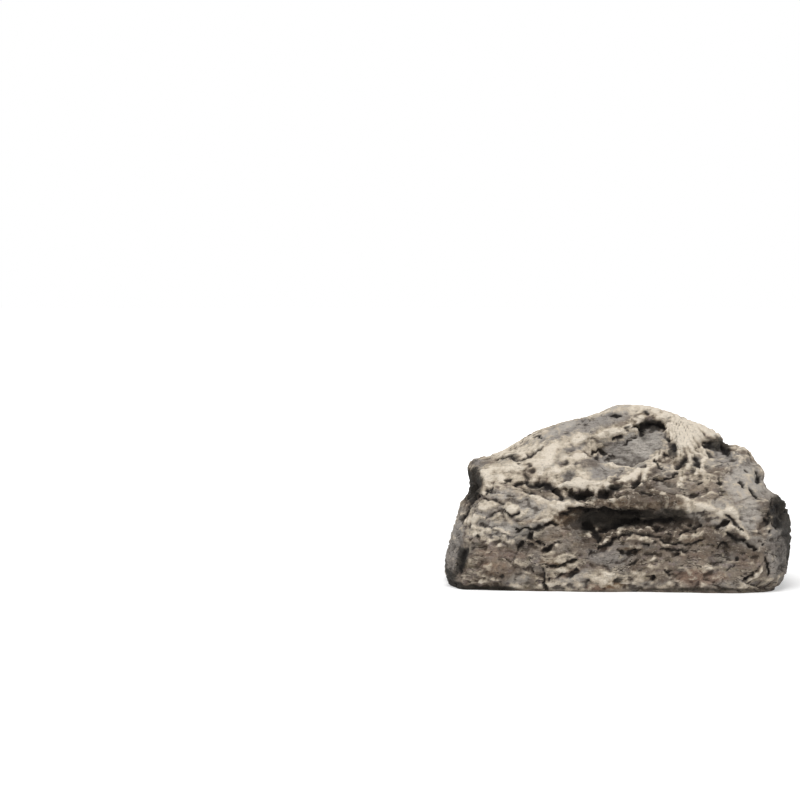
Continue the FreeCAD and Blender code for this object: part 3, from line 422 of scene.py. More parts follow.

# Where colour lies; some lists also hold painted light and shade, as said at each.
COLOURS = {
    # cream paint, partly painted light: on the lit top rim and along the foot over its shade
    "cream": (
        (560, 587, 18, 3.5, 1), (630, 586, 14, 3.5, 1), (515, 587, 14, 3.5, 0.9),
        (668, 586, 12, 3, 0.8), (750, 587, 14, 3, 0.6), (716, 517, 18, 3, 1, 5),
        (700, 446, 10, 4, 1), (707, 456, 6, 5, 0.9), (701, 476, 7, 5, 0.9), (511, 451, 6, 6, 0.9),
        (470, 467, 5, 4, 0.8), (640, 524, 12, 3, 0.8), (500, 541, 16, 3, 1, 3),
        (484, 535, 9, 3, 0.9, 10), (466, 549, 5, 5, 0.8), (470, 521, 6, 7, 0.8),
        (575, 516, 14, 4, 0.8, 15), (596, 413, 10, 3, 0.8, -14), (562, 459, 10, 5, 1),
        (582, 474, 8, 10, 1.1), (552, 447, 12, 5, 1, -20), (560, 470, 14, 7, 1),
        (600, 483, 18, 3, 0.8), (592, 452, 8, 5, 0.9, -30), (612, 438, 10, 5, 1, -10),
        (657, 455, 5, 6, 1, 20), (487, 487, 7, 8, 0.8), (650, 408, 18, 3, 0.9, 6),
        (600, 428, 4, 2, 0.5), (560, 553, 16, 5, 0.6, -6), (570, 566, 12, 4, 0.8, -16),
        (520, 560, 20, 3, 0.3, 5), (524, 571, 7, 4, 0.5), (482, 579, 12, 5, 0.5),
        (692, 420, 30, 5, 1, 22), (571, 487, 34, 4, 0.9, 3), (566, 509, 12, 4, 0.7, -12),
        (550, 520, 14, 3, 0.8, -14), (538, 531, 8, 3, 0.7, -20), (552, 545, 10, 3, 0.5, -30),
        (497, 531, 14, 3, 0.7, 12), (608, 436, 9, 5, 1, -10), (590, 444, 8, 5, 0.9, -40),
        (634, 411, 11, 4, 0.9), (630, 428, 5, 3, 0.8, -30), (662, 417, 6, 8, 0.9, 10),
        (578, 483, 24, 5, 0.95, 4), (700, 447, 6, 10, 0.8, 35), (640, 577, 12, 4, 0.7),
        (505, 474, 26, 10, 0.95, -6), (515, 444, 30, 3.5, 0.8, -26), (492, 454, 16, 3, 0.8, -6),
        (546, 464, 30, 17, 0.9, -8), (582, 485, 32, 6, 0.8, 3), (520, 451, 26, 4, 0.9, -12),
        (575, 442, 22, 6, 0.8, -10), (612, 433, 18, 4, 0.9, -10), (634, 477, 18, 6, 0.9, -20),
        (684, 432, 16, 22, 1, 12), (708, 430, 18, 6, 1, 24), (656, 462, 8, 5, 0.6),
        (690, 462, 18, 14, 0.4), (682, 481, 4, 6, 0.9), (511, 508, 6, 4, 1), (488, 506, 10, 6, 0.5),
        (541, 499, 10, 5, 0.9), (472, 533, 7, 3, 0.8), (545, 505, 26, 9, 0.5, -14),
        (500, 520, 18, 5, 0.5), (734, 516, 7, 9, 0.9, -35), (742, 534, 8, 4, 0.7, 20),
        (606, 577, 18, 5, 0.9), (474, 470, 5, 3, 0.3), (560, 559, 18, 4, 0.5),
        (756, 579, 7, 4, 0.7, -40), (560, 570, 12, 4, 0.5, -20), (699, 511, 12, 6, 0.95),
        (723, 516, 15, 4, 0.95, 8), (557, 510, 12, 6, 0.95, -10), (700, 443, 6, 8, 1, 30),
        (632, 427, 6, 5, 1, -30), (578, 457, 18, 4, 0.9, -6), (560, 588, 44, 3, 0.6),
        (645, 588, 34, 3, 0.6), (650, 563, 5, 4, 0.8), (593, 533, 5, 4, 1, -20),
        (640, 421, 5, 3, 1), (712, 566, 7, 4, 0.4),
    ),
    "grey": (
        (630, 462, 16, 6, 1, -20), (585, 425, 60, 9, 0.9, -19), (628, 455, 30, 17, 1, -25),
        (655, 440, 14, 12, 0.8), (478, 464, 9, 6, 0.9), (505, 462, 7, 3, 0.8),
        (574, 447, 14, 5, 0.9, -12), (569, 475, 8, 7, 0.9), (604, 467, 20, 12, 1, -20),
        (618, 465, 24, 9, 1, -20), (722, 457, 22, 9, 0.8, 20), (530, 500, 20, 10, 0.4),
        (452, 545, 9, 34, 0.9, 14), (777, 550, 12, 30, 0.8), (665, 470, 14, 7, 0.6),
        (500, 537, 20, 5, 0.7, 10), (610, 555, 24, 12, 0.7),
    ),
    "ochre": (
        (566, 516, 22, 9, 0.9, -20), (545, 535, 22, 9, 0.6, -20), (500, 572, 22, 10, 0.5),
        (640, 504, 52, 5, 0.7, 1), (532, 521, 20, 4, 0.6, -8), (556, 563, 20, 4, 0.6),
        (613, 584, 14, 4, 0.9), (628, 550, 14, 3, 0.8), (470, 541, 6, 5, 0.6),
        (618, 487, 10, 4, 0.6), (655, 462, 6, 4, 0.5), (545, 482, 12, 4, 0.5),
        (700, 540, 26, 6, 0.5), (484, 571, 14, 8, 0.4), (693, 487, 10, 6, 0.4),
    ),
    "pink": (
        (700, 578, 24, 8, 0.9), (500, 553, 26, 6, 0.6, 2), (492, 566, 20, 6, 0.5),
        (690, 556, 22, 5, 0.5), (570, 573, 12, 3, 0.8, -15), (600, 587, 14, 3, 0.9),
        (603, 548, 8, 2, 0.8), (563, 530, 12, 6, 0.5, -40), (748, 560, 18, 8, 0.5),
        (688, 432, 12, 16, 0.3, 12),
    ),
    # dark paint, and painted shade in the deep recess, along the foot and in dark hollows
    "dark_paint_and_shade": (
        (787, 526, 6, 18, 0.9), (467, 480, 5, 10, 1), (442, 566, 4, 13, 0.8),
        (722, 441, 9, 4, 0.8, 35), (471, 588, 15, 3, 0.9), (585, 529, 5, 5, 0.7),
        (673, 451, 4, 7, 0.8, -15), (545, 489, 10, 5, 0.6, 8), (767, 521, 3, 6, 0.7),
        (460, 566, 4, 9, 0.7, 20), (624, 517, 46, 7, 1, 2), (612, 522, 30, 5, 1, 2),
        (640, 503, 40, 4, 0.45, 2), (676, 514, 14, 6, 0.75, 10), (600, 524, 10, 5, 0.8, 10),
        (475, 589, 18, 3, 1), (469, 482, 5, 11, 1), (644, 435, 7, 7, 0.5, -30),
        (640, 529, 40, 5, 0.25, 2), (474, 484, 7, 14, 1), (473, 464, 7, 7, 0.3),
        (473, 496, 5, 7, 0.8, 20), (716, 446, 11, 5, 0.8, 20), (726, 449, 3, 7, 1, -10),
        (779, 505, 8, 9, 1), (781, 517, 9, 11, 1, -10), (790, 535, 5, 26, 1),
        (782, 556, 9, 26, 0.45), (448, 577, 7, 9, 0.9, -30), (458, 587, 12, 4, 1, 15),
        (462, 557, 5, 10, 0.8, 10), (650, 425, 10, 5, 0.9, -5), (736, 542, 18, 5, 0.4, 8),
        (490, 589, 30, 2.5, 0.8), (700, 590, 70, 2, 0.6), (514, 457, 5, 3, 0.6),
        (542, 487, 14, 4, 0.6, 8), (586, 498, 22, 2.5, 0.6), (614, 489, 10, 4, 0.7, -10),
        (470, 545, 9, 8, 0.4), (536, 533, 22, 5, 0.5, -6), (690, 462, 12, 6, 0.25),
    ),
    # brown paint, and painted shade in the recess and under the ledge
    "brown": (
        (677, 533, 11, 3.5, 0.9), (620, 530, 8, 3, 0.8, -30), (744, 563, 12, 5, 0.6),
        (510, 482, 7, 4, 0.7), (590, 465, 10, 4, 0.9, -10), (505, 575, 6, 9, 0.6),
        (606, 536, 9, 5, 0.9, -30), (760, 571, 5, 7, 0.6, 30), (640, 497, 14, 8, 1),
        (668, 501, 10, 8, 1), (652, 473, 8, 5, 0.8, -30), (588, 463, 9, 3, 0.7, -10),
        (563, 464, 5, 4, 1), (590, 544, 14, 4, 1), (636, 566, 9, 4, 0.9), (485, 464, 6, 4, 0.6),
        (511, 502, 9, 3, 0.7, 10), (686, 452, 3, 7, 0.6), (528, 471, 6, 7, 0.7, 30),
        (620, 485, 10, 5, 0.8), (578, 513, 26, 5, 0.8), (672, 538, 10, 4, 0.7),
        (712, 537, 10, 6, 0.8), (650, 532, 100, 13, 0.5, 2), (640, 550, 100, 10, 0.45),
        (600, 514, 46, 9, 0.8), (740, 547, 40, 12, 0.6), (530, 552, 60, 9, 0.4, 3),
        (470, 482, 9, 22, 0.8), (655, 490, 34, 8, 0.5), (772, 505, 16, 14, 0.6),
        (540, 530, 24, 8, 0.4), (590, 500, 40, 6, 0.4), (452, 565, 10, 20, 0.4, 15),
    ),
    # pale paint, partly painted light where the surface turns from the lamp, on the top rim and
    # along the foot
    "pale": (
        (627, 461, 24, 4, 0.9, -3), (610, 437, 10, 5, 0.9, -10), (628, 434, 5, 5, 0.9, -40),
        (558, 461, 7, 6, 1), (568, 424, 7, 4, 1, -15), (560, 588, 16, 3, 0.8),
        (636, 586, 10, 3, 0.8), (540, 527, 26, 9, 0.8, -14), (576, 578, 18, 8, 0.7, -10),
        (590, 466, 12, 8, 0.5), (756, 542, 10, 5, 0.9), (666, 488, 12, 5, 0.6, 20),
        (536, 508, 22, 10, 0.9, -8), (545, 530, 22, 8, 0.7, -14), (575, 522, 12, 6, 0.6, -20),
        (484, 514, 16, 10, 0.6, -30), (470, 540, 8, 14, 0.5), (630, 408, 56, 5, 0.9),
        (560, 507, 18, 7, 0.9, -15), (538, 503, 12, 8, 0.8), (697, 512, 9, 8, 0.8),
        (724, 521, 14, 8, 0.8, 10), (748, 512, 14, 18, 0.8), (562, 586, 24, 4, 0.8),
        (515, 581, 14, 8, 0.6), (640, 585, 20, 4, 0.6), (706, 584, 60, 4, 0.5),
        (750, 545, 10, 4, 0.95, 20), (768, 493, 8, 8, 0.9), (500, 494, 14, 5, 0.8),
        (560, 548, 14, 4, 0.4, -20), (655, 524, 24, 2, 0.4), (642, 450, 18, 15, 0.8, -40),
        (612, 466, 20, 8, 0.4, -10), (746, 483, 20, 20, 0.9), (724, 508, 18, 10, 0.7),
        (500, 527, 24, 6, 0.8, 4), (518, 506, 26, 9, 0.5, -6), (540, 452, 30, 6, 0.5, -20),
        (548, 434, 26, 4, 0.6, -24), (600, 411, 26, 3.5, 0.8, -14), (655, 408, 26, 3.5, 0.8, 10),
        (702, 462, 14, 8, 0.5), (772, 478, 4, 6, 0.4), (560, 500, 12, 6, 0.4),
    ),
}

FAN = (684, 436, 17, 24, 16)  # the fan of fine folds: its ellipse and turn
FAN_APEX = (667, 394)  # where its folds meet
FAN_FOLDS = 72  # phase of the folds for each radian round the apex

def ellipse(px, py, x, y, rx, ry, turn=0):
    """1 in the middle of a turned ellipse, about 0.6 at its edge and 0 well outside."""
    c, s = math.cos(math.radians(turn)), math.sin(math.radians(turn))
    u = ((px - x) * c + (py - y) * s) / rx
    v = (-(px - x) * s + (py - y) * c) / ry
    return np.exp(-0.5 * (u * u + v * v) ** 1.5)


def painted(px, py, spots):
    field = np.zeros(len(px))
    for x, y, rx, ry, strength, *turn in spots:
        field = np.maximum(field, strength * ellipse(px, py, x, y, rx, ry, *turn))
    return field


def along(px, py, run):
    """Distance to a run of straight lines, minus above it, and how far each end tapers it."""
    corners = list(zip(run[::2], run[1::2]))
    nearest = np.full(px.shape, 1e9)
    offset = np.zeros(px.shape)
    total = sum(math.dist(a, b) for a, b in zip(corners, corners[1:]))
    done = 0.0
    share = np.zeros(px.shape)
    for (ax, ay), (bx, by) in zip(corners, corners[1:]):
        dx, dy = bx - ax, by - ay
        length = math.hypot(dx, dy)
        t = np.clip(((px - ax) * dx + (py - ay) * dy) / length**2, 0, 1)
        distance = np.hypot(px - ax - t * dx, py - ay - t * dy)
        closer = distance < nearest
        share = np.where(closer, (done + t * length) / total, share)
        below = (px - ax) * -dy + (py - ay) * dx
        below *= 1 if 2 * dx - dy > 0 else -1
        offset = np.where(closer, np.where(below > 0, distance, -distance), offset)
        nearest = np.where(closer, distance, nearest)
        done += length
    return offset, 0.45 + 0.55 * np.clip(4 * share * (1 - share), 0, 1) ** 0.5


# ---------------- the stone's form

SPACING = 0.38  # between neighbouring points of the stone's surface
CAST = 201  # rays each way when the CAD form is read
CAST_FROM = 200  # how far out the rays start
CAST_ROUNDS = 6  # of softening
DOME_SHAPE = 0.72  # how narrow the dome of rays is across, for its length
SKIN_LEVELS = (0.01, 1.2, 2.4, 4.0)  # heights of the skin over the door's way out


def skin_over_mouth(points, faces):
    """Closes the mouth of the door's way out, in line with the stone round it."""
    tree = BVHTree.FromPolygons(points, faces)

    def end_reach(y, z):
        return tree.ray_cast(Vector((100, y, z)), Vector((-1, 0, 0)))[0].x

    top = SKIN_LEVELS[-1]
    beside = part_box("slide_door")[1][1] / MM + 1.0
    sides = np.linspace(-beside, beside, 9)
    first = len(points)
    for z in SKIN_LEVELS:
        lean = sum(end_reach(y, z) - end_reach(y, top) for y in (-beside, beside)) / 2
        points += [Vector((end_reach(y, top) + lean, y, z)) for y in sides]
    for row in range(len(SKIN_LEVELS) - 1):
        for k in range(len(sides) - 1):
            a = first + row * len(sides) + k
            faces.append((a, a + 1, a + 1 + len(sides), a + len(sides)))


def dome_ways():
    """Directions over a dome, in a square grid whose border runs round the base."""
    side = np.linspace(-1, 1, CAST)
    a, b = np.meshgrid(side, side, indexing="ij")
    wide = np.abs(a) > np.abs(b)
    r = np.where(wide, a, b)
    small, big = np.where(wide, b, a), np.where(wide, a, b)
    angle = math.pi / 4 * small / np.where(big == 0, 1, big)
    angle = np.where(wide, angle, math.pi / 2 - angle)
    x, y = r * np.cos(angle), r * np.sin(angle)
    r2 = np.clip(x * x + y * y, 0, 1)
    ways = np.stack((x * np.sqrt(2 - r2), y * np.sqrt(2 - r2) * DOME_SHAPE, 1 - r2), axis=-1)
    return ways / np.linalg.norm(ways, axis=-1, keepdims=True)


def cast_form():
    """The CAD stone's outer surface with its edges softened, closed across its base."""
    mesh = nodes["rock_shell"].data
    points = [v.co / MM for v in mesh.vertices]
    faces = [tuple(p.vertices) for p in mesh.polygons]
    skin_over_mouth(points, faces)
    tree = BVHTree.FromPolygons(points, faces)
    ways = dome_ways()
    centre = Vector((0, 0, 0.02))
    reach = np.empty((CAST, CAST))
    for i in range(CAST):
        for j in range(CAST):
            way = Vector(ways[i, j])
            reach[i, j] = (tree.ray_cast(centre + CAST_FROM * way, -way)[0] - centre).length
    for axis in (0, 1):
        for _ in range(CAST_ROUNDS):
            wide = np.pad(reach, [(1, 1) if k == axis else (0, 0) for k in (0, 1)], mode="edge")
            parts = [np.take(wide, range(k, k + CAST), axis=axis) for k in range(3)]
            reach = 0.25 * parts[0] + 0.5 * parts[1] + 0.25 * parts[2]
    points = ways * reach[..., None]
    for border in (0, -1):
        points[border, :, 2] = points[:, border, 2] = 0.0
    index = np.arange(CAST * CAST).reshape(CAST, CAST)
    quads = np.stack((index[:-1, :-1], index[1:, :-1], index[1:, 1:], index[:-1, 1:]), axis=-1)
    loop = np.concatenate((index[0, :-1], index[:-1, -1], index[-1, :0:-1], index[:0:-1, 0]))
    return points.reshape(-1, 3), quads.reshape(-1, 4).tolist() + [loop.tolist()]


def even_surface(points, faces):
    """The same closed form as a mesh of even squares, open across its base."""
    rough = mesh_object("rough", points.tolist(), faces)
    modifier = rough.modifiers.new("even", "REMESH")
    modifier.mode = "VOXEL"
    modifier.voxel_size = SPACING
    seen = rough.evaluated_get(bpy.context.evaluated_depsgraph_get())
    even = seen.to_mesh()
    points = np.empty(3 * len(even.vertices))
    even.vertices.foreach_get("co", points)
    points = points.reshape(-1, 3)
    quads = np.empty(len(even.loops), int)
    even.loops.foreach_get("vertex_index", quads)
    quads = quads.reshape(-1, 4)
    seen.to_mesh_clear()
    bpy.data.meshes.remove(rough.data)
    quads = quads[points[quads, 2].max(axis=1) > 0.5 * SPACING]
    used = np.unique(quads)
    place = np.zeros(len(points), int)
    place[used] = np.arange(len(used))
    surface = Surface(points[used], place[quads], SPACING)
    if np.sum(surface.normals() * surface.points) < 0:
        surface.quads = surface.quads[:, ::-1]
    return surface


OUTLINE_MIDDLE = (618.0, 545.0)  # where the bearings are taken from
OUTLINE_SLOTS = 260  # bearings at which the outline is compared
OUTLINE_ROUNDS = 3


def fit_outline(points):
    """Moves the points near the stone's outline, as the camera sees it, onto the photograph's."""
    target = np.array(OUTLINE, float) - OUTLINE_MIDDLE
    bearing = np.arctan2(target[:, 0], -target[:, 1])
    bins = np.linspace(bearing.min(), bearing.max(), OUTLINE_SLOTS)
    order = np.argsort(bearing)
    wanted = np.interp(bins, bearing[order], np.hypot(*target.T)[order])
    for _ in range(OUTLINE_ROUNDS):
        px, py = photo_place(points)
        dx, dy = px - OUTLINE_MIDDLE[0], py - OUTLINE_MIDDLE[1]
        angle, reach = np.arctan2(dx, -dy), np.hypot(dx, dy)
        slot = np.round((angle - bins[0]) / (bins[1] - bins[0])).astype(int)
        inside = (slot >= 0) & (slot < OUTLINE_SLOTS)
        now = np.zeros(OUTLINE_SLOTS)
        np.maximum.at(now, slot[inside], reach[inside])
        now = np.where(now == 0, wanted, now)
        ratio = np.pad(wanted / now, 2, mode="edge")
        ratio = np.convolve(ratio, np.array((1, 4, 6, 4, 1)) / 16, mode="valid")
        weight = smooth(reach / np.interp(angle, bins, now), 0.72, 0.97) * inside
        scale = (np.interp(angle, bins, ratio) - 1) * weight
        lift = -scale * dy * smooth(points[:, 2], 0.5, 5.0)
        points = points + np.outer(scale * dx, RIGHT) / PX_PER_MM + np.outer(lift, UP) / PX_PER_MM
    return points


WALL = 0.9  # how near the CAD box, in millimetres, the stone is held off
PIT_TRIES = 340  # places at which a scattered pit is tried
LOWEST = 0.03  # height of the lowest point above the rim


def held_off(distance):
    """Distances to a wall, eased so that none passes it."""
    eased = WALL * np.exp(np.minimum(distance / WALL, 1) - 1)
    return np.where(distance < WALL, eased, distance)


class Carving:
    """The stone's surface while it is carved, and how far each point has been raised."""

    def __init__(self, surface):
        self.surface = surface
        self.relief = np.zeros(len(surface.points))

    def look(self):
        """What faces the camera, and each point's slightly shaken place in the photograph."""
        points = self.surface.points
        self.normals = self.surface.normals(self.surface.blur(points, 0.5))
        front = facing_camera(points, self.normals, -0.03, 0.12)
        px, py = (
            at + 2.6 * perlin(points, 2.4, seed) + 3.0 * perlin(points, 1.1, seed + 10)
            for at, seed in zip(photo_place(points), (3, 4))
        )
        return front, px, py

    def raise_by(self, height):
        """Moves the points along the normals of the last look, less so at the base."""
        z = self.surface.points[:, 2]
        height = np.where(height > 0, height * smooth(z, -0.9, 0.9), height)
        move = height[:, None] * self.normals
        move[:, 2] *= smooth(z, 0.0, 1.5)
        self.surface.points += move
        self.relief += height


def sharpen_front(surface):
    """Pushes the edge of the base out along the front, where the remesh has rounded it."""
    x, _, z = surface.points.T
    low = 0.4 * (1 - smooth(z, 0.0, 1.3)) + 0.5 * (1 - smooth(z, 0.0, 4.0))
    towards = surface.normals(surface.blur(surface.points, 1.5))[:, 1]
    low *= smooth(-towards, 0.5, 0.9) * (1 - smooth(np.abs(x), 22, 32))
    surface.points[:, 1] -= low


def carve_forms(carving):
    """The broad forms, and lumps away from the front."""
    front, px, py = carving.look()
    points = carving.surface.points
    height = np.zeros(len(points))
    for x, y, rx, ry, rise, *turn in FORMS:
        height += rise * ellipse(px, py, x, y, rx, ry, *turn)
    height *= front
    lumps = 0.6 * fractal(points, 15, 3, 0.5, 11)
    lumps += 0.6 * (0.5 - ridged(points * (1, 1, 1.7), 12, 2, 0.5, 21))
    carving.raise_by(height + lumps * (1 - front))


def carve_beds(carving):
    """Bedding planes, chips and lumps; gives what is calm, what is rough and the chips' tones."""
    front, px, py = carving.look()
    points = carving.surface.points
    calm = painted(px, py, CALM) * front
    calm += 0.8 * smooth(fractal(points, 15, 2, 0.5, 101), 0.0, 0.35) * (1 - front)
    rough = 1 - 0.85 * calm
    tilt = points + (1.6 * fractal(points, 14, 2, 0.5, 31))[:, None]
    layers = ridged(tilt * (0.36, 0.5, 1.25), 5.2, 3, 0.55, 41)
    upper = smooth(points[:, 2], 20, 30)
    height = (0.75 - 0.3 * upper) * (0.4 - layers) * rough
    height += 0.45 * fractal(points * (0.8, 0.8, 1.2), 5.5, 3, 0.55, 51) * (0.4 + 0.6 * rough)
    tones = np.zeros(len(points))
    warp = crooked(points, 0.5, 3.0, 81) * (0.8, 0.9, 1.4)
    for size, slope, seed in ((9.0, 0.6, 1), (4.4, 0.5, 2), (2.2, 0.35, 3)):
        chip, tone = chips(warp, size, seed)
        height += slope * chip * rough
        tones += tone / 3
    carving.raise_by(carving.surface.blur(height, 0.2))
    return calm, rough, tones


def carve_photo(carving, calm):
    """What the photograph shows, line by line; gives the dark wash and painted shade of cracks,
    pits and ridges' lower sides, and the cream brush.
    """
    front, px, py = carving.look()
    points = carving.surface.points
    height, wash_and_shade, brush = np.zeros((3, len(points)))
    broken = np.clip(0.85 + 1.5 * perlin(points, 1.7, 92), 0.15, 1.4)
    broken += (1 - broken) * np.minimum(calm, 1)
    for half_width, depth, *run in CRACKS:
        offset, taper = along(px, py, run)
        cut = np.exp(-((np.abs(offset) / (1.35 * half_width * taper)) ** 1.4))
        height -= 0.9 * depth * cut * np.minimum(broken + 0.3, 1.2)
        # dark paint and painted shade in the crack
        dark = min(1.0, 0.6 + 0.4 * depth) * cut**0.8 * np.minimum(broken + 0.3, 1)
        wash_and_shade = np.maximum(wash_and_shade, dark)
    for x, y, rx, ry, depth, *turn in PITS:
        cut = ellipse(px, py, x, y, rx, ry, *turn)
        height -= 0.7 * depth * cut
        # dark paint and painted shade in the pit
        wash_and_shade = np.maximum(wash_and_shade, min(1.0, 0.35 + 0.65 * depth) * cut)
    fan = ellipse(px, py, *FAN)
    for half_width, rise, cream, *run in RIDGES:
        offset, taper = along(px, py, run)
        width = half_width * taper * np.where(offset > 0, 0.75, 1.5)
        crest = np.exp(-0.5 * (offset / width) ** 2) * broken
        height += 0.65 * rise * crest
        brush = np.maximum(brush, cream * crest)
        # painted shadow along the lower side of each ridge
        foot = np.exp(-0.5 * ((offset / (half_width * taper) - 1.7) / 0.55) ** 2)
        wash_and_shade = np.maximum(wash_and_shade, 0.55 * rise * foot * np.minimum(broken, 1) * (1 - fan))
    fan_x, fan_y = photo_place(points)
    turn = np.arctan2(fan_x - FAN_APEX[0], fan_y - FAN_APEX[1])
    fold = np.cos(FAN_FOLDS * turn + 3.0 * perlin(points, 6.0, 121))
    height += 0.15 * fan * fold
    # painted shade in the hollows between the fan's folds
    wash_and_shade = np.maximum(wash_and_shade, 0.42 * fan * smooth(-fold, 0.2, 1.0) * smooth(fan_y, 412, 440))
    carving.raise_by(height * front)
    return wash_and_shade * front, brush * front


def scatter_pits(carving, calm, rough, wash_and_shade):
    """Pits and crumbs, mostly away from the front, and fine cracks there; gives the dark wash and
    painted shade, now in these pits and cracks too.
    """
    front, _, _ = carving.look()
    rng = np.random.default_rng(7)
    points = carving.surface.points
    wandering = crooked(points, 0.9, 1.3, 131)
    cut, pit_stain_and_shade = np.zeros((2, len(points)))
    for index in rng.integers(0, len(points), PIT_TRIES):
        if rng.random() < 0.95 * front[index] + 0.3 * calm[index] or points[index, 2] < 1.0:
            continue
        size = rng.uniform(0.3, 1.0) ** 1.5 * 1.15
        stretch = np.array((rng.uniform(0.35, 1.0), rng.uniform(0.5, 1.0), rng.uniform(0.9, 1.6)))
        near = np.abs(points - points[index]).max(axis=1) < 5 * size
        away = lengths((wandering[near] - wandering[index]) * stretch)
        shape = np.exp(-((away / size) ** 3))
        cut[near] = np.maximum(cut[near], 1.1 * size**0.8 * shape)
        # dark paint and painted shade in the pit
        pit_stain_and_shade[near] = np.maximum(pit_stain_and_shade[near], rng.uniform(0.1, 0.9) * shape)
    vein = smooth(ridged(wandering * (0.9, 0.9, 1.5), 8, 2, 0.5, 141), 0.80, 0.97)
    vein *= (1 - front) * smooth(fractal(points, 7, 2, 0.5, 151), -0.25, 0.15) * rough
    cut = np.maximum(cut, 0.55 * vein)
    height = 0.26 * fractal(points, 2.0, 3, 0.6, 61) * (0.2 + 0.8 * rough) - cut
    height += 0.15 * fractal(points, 0.9, 2, 0.6, 71) * (0.3 + 0.7 * rough)
    carving.raise_by(height)
    # darkening in pits and fine cracks: dark paint and painted shade
    return np.maximum(np.maximum(wash_and_shade, pit_stain_and_shade), 0.75 * vein)


def settle(surface, rim):
    """Fits the outline, keeps the base's edge from crossing itself, and stays in the CAD box."""
    points = fit_outline(surface.points)
    low = 1 - smooth(points[:, 2], 0.2, 1.2)
    points[:, :2] += low[:, None] * (surface.blur(points, 0.9) - points)[:, :2]
    lowest, highest = np.array(cad_box[0]) / MM, np.array(cad_box[1]) / MM
    points[:, :2] = lowest[:2] + held_off(points[:, :2] - lowest[:2])
    points = highest - held_off(highest - points)
    points[:, 2] = np.where(rim, 0.0, np.maximum(points[:, 2], LOWEST))
    surface.points = points


def colour_masks(surface, wash_and_shade, brush, tones, relief):
    """The numbers at each point that colour it."""
    points, normals = surface.points, surface.normals()
    front = facing_camera(points, surface.blur(normals, 1.0), -0.12, 0.08)
    px, py = (
        at + 4.0 * perlin(points, 2.6, seed) for at, seed in zip(photo_place(points), (5, 6))
    )
    masks = {"wash_and_shade": wash_and_shade, "brush": brush, "front": front, "tone": tones, "relief": relief}
    for name, sigma in (("fine", 0.45), ("mid", 1.3)):
        masks[name] = dot(surface.blur(points, sigma) - points, normals)
    for name, spots in COLOURS.items():
        # the seed counts the masks, so their order stays
        field = fractal(points * (0.7, 0.7, 1.3), 11, 3, 0.55, 111 + 10 * len(masks))
        patches = smooth(field, 0.05, 0.45) * (0.5 if name == "dark_paint_and_shade" else 1.0)
        masks[name] = painted(px, py, spots) * front + patches * (1 - front)
    # how far each point faces up, which lightens the tops as painted light
    masks["up"] = surface.blur(normals[:, 2], 0.6)
    return masks


def sculpt():
    """The stone's surface, and the numbers that colour it."""
    surface = even_surface(*cast_form())
    rim = surface.rim()
    surface.points[rim, 2] = 0.0
    sharpen_front(surface)
    carving = Carving(surface)
    carve_forms(carving)
    calm, rough, tones = carve_beds(carving)
    wash_and_shade, brush = carve_photo(carving, calm)
    wash_and_shade = scatter_pits(carving, calm, rough, wash_and_shade)
    settle(surface, rim)
    return surface, colour_masks(surface, wash_and_shade, brush, tones, carving.relief)


def build_stone():
    surface, masks = sculpt()
    stone = mesh_object("stone", (surface.points * MM).tolist(), surface.quads.tolist())
    mesh = stone.data
    for name, field in masks.items():
        attribute = mesh.attributes.new(name, "FLOAT", "POINT")
        attribute.data.foreach_set("value", field.astype(np.float32))
    bm = bmesh.new()
    bm.from_mesh(mesh)
    open_edges = [e for e in bm.edges if e.is_boundary]
    bmesh.ops.holes_fill(bm, edges=open_edges, sides=0)
    bm.to_mesh(mesh)
    bm.free()
    mesh.polygons.foreach_set("use_smooth", [True] * len(mesh.polygons))
    return stone


# ---------------- the base and what is let into it

GAP = 0.2  # clearance round each part that is let into the stone
SEAT_CORNER, TRAY_CORNER = 2.2, 1.2
TRAY_HALF_X, TRAY_HALF_Y, TRAY_CENTRE = 30.4, 13.9, 0.7
WAY_OUT_TOP = 3.6
SCREW_HOLE, SCREW_HEAD, SCREW_FOOT = 1.05, 1.9, 4.0  # hole radius, head radius, lowest height


def node_box(name):
    low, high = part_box(name)
    return np.array(low) / MM, np.array(high) / MM


def rounded_outline(half_x, half_y, corner, centre_x=0.0):
    """Points round a rectangle with round corners, counter-clockwise."""
    points = []
    steps = 6
    for k, (sx, sy) in enumerate(((1, 1), (-1, 1), (-1, -1), (1, -1))):
        for step in range(steps + 1):
            turn = math.radians(90 * (k + step / steps))
            x = centre_x + sx * (half_x - corner) + corner * math.cos(turn)
            points.append((x, sy * (half_y - corner) + corner * math.sin(turn)))
    return points


def loft(name, rings):
    """A closed solid through rings, each an outline with its height, from the lowest up."""
    points = [(x * MM, y * MM, z * MM) for outline, z in rings for x, y in outline]
    size = len(rings[0][0])
    faces = [tuple(reversed(range(size)))]
    for ring in range(len(rings) - 1):
        for k in range(size):
            a, b = ring * size + k, ring * size + (k + 1) % size
            faces.append((a, b, b + size, a + size))
    faces.append(tuple(range(len(points) - size, len(points))))
    return mesh_object(name, points, faces)


def combine(solid, other, operation):
    """Cuts other from solid, or adds it, and removes other."""
    modifier = solid.modifiers.new("combine", "BOOLEAN")
    modifier.operation = operation
    modifier.solver = "MANIFOLD"
    modifier.object = other
    seen = solid.evaluated_get(bpy.context.evaluated_depsgraph_get())
    mesh = bpy.data.meshes.new_from_object(seen)
    solid.modifiers.clear()
    old, solid.data = solid.data, mesh
    bpy.data.meshes.remove(old)
    bpy.data.objects.remove(other)


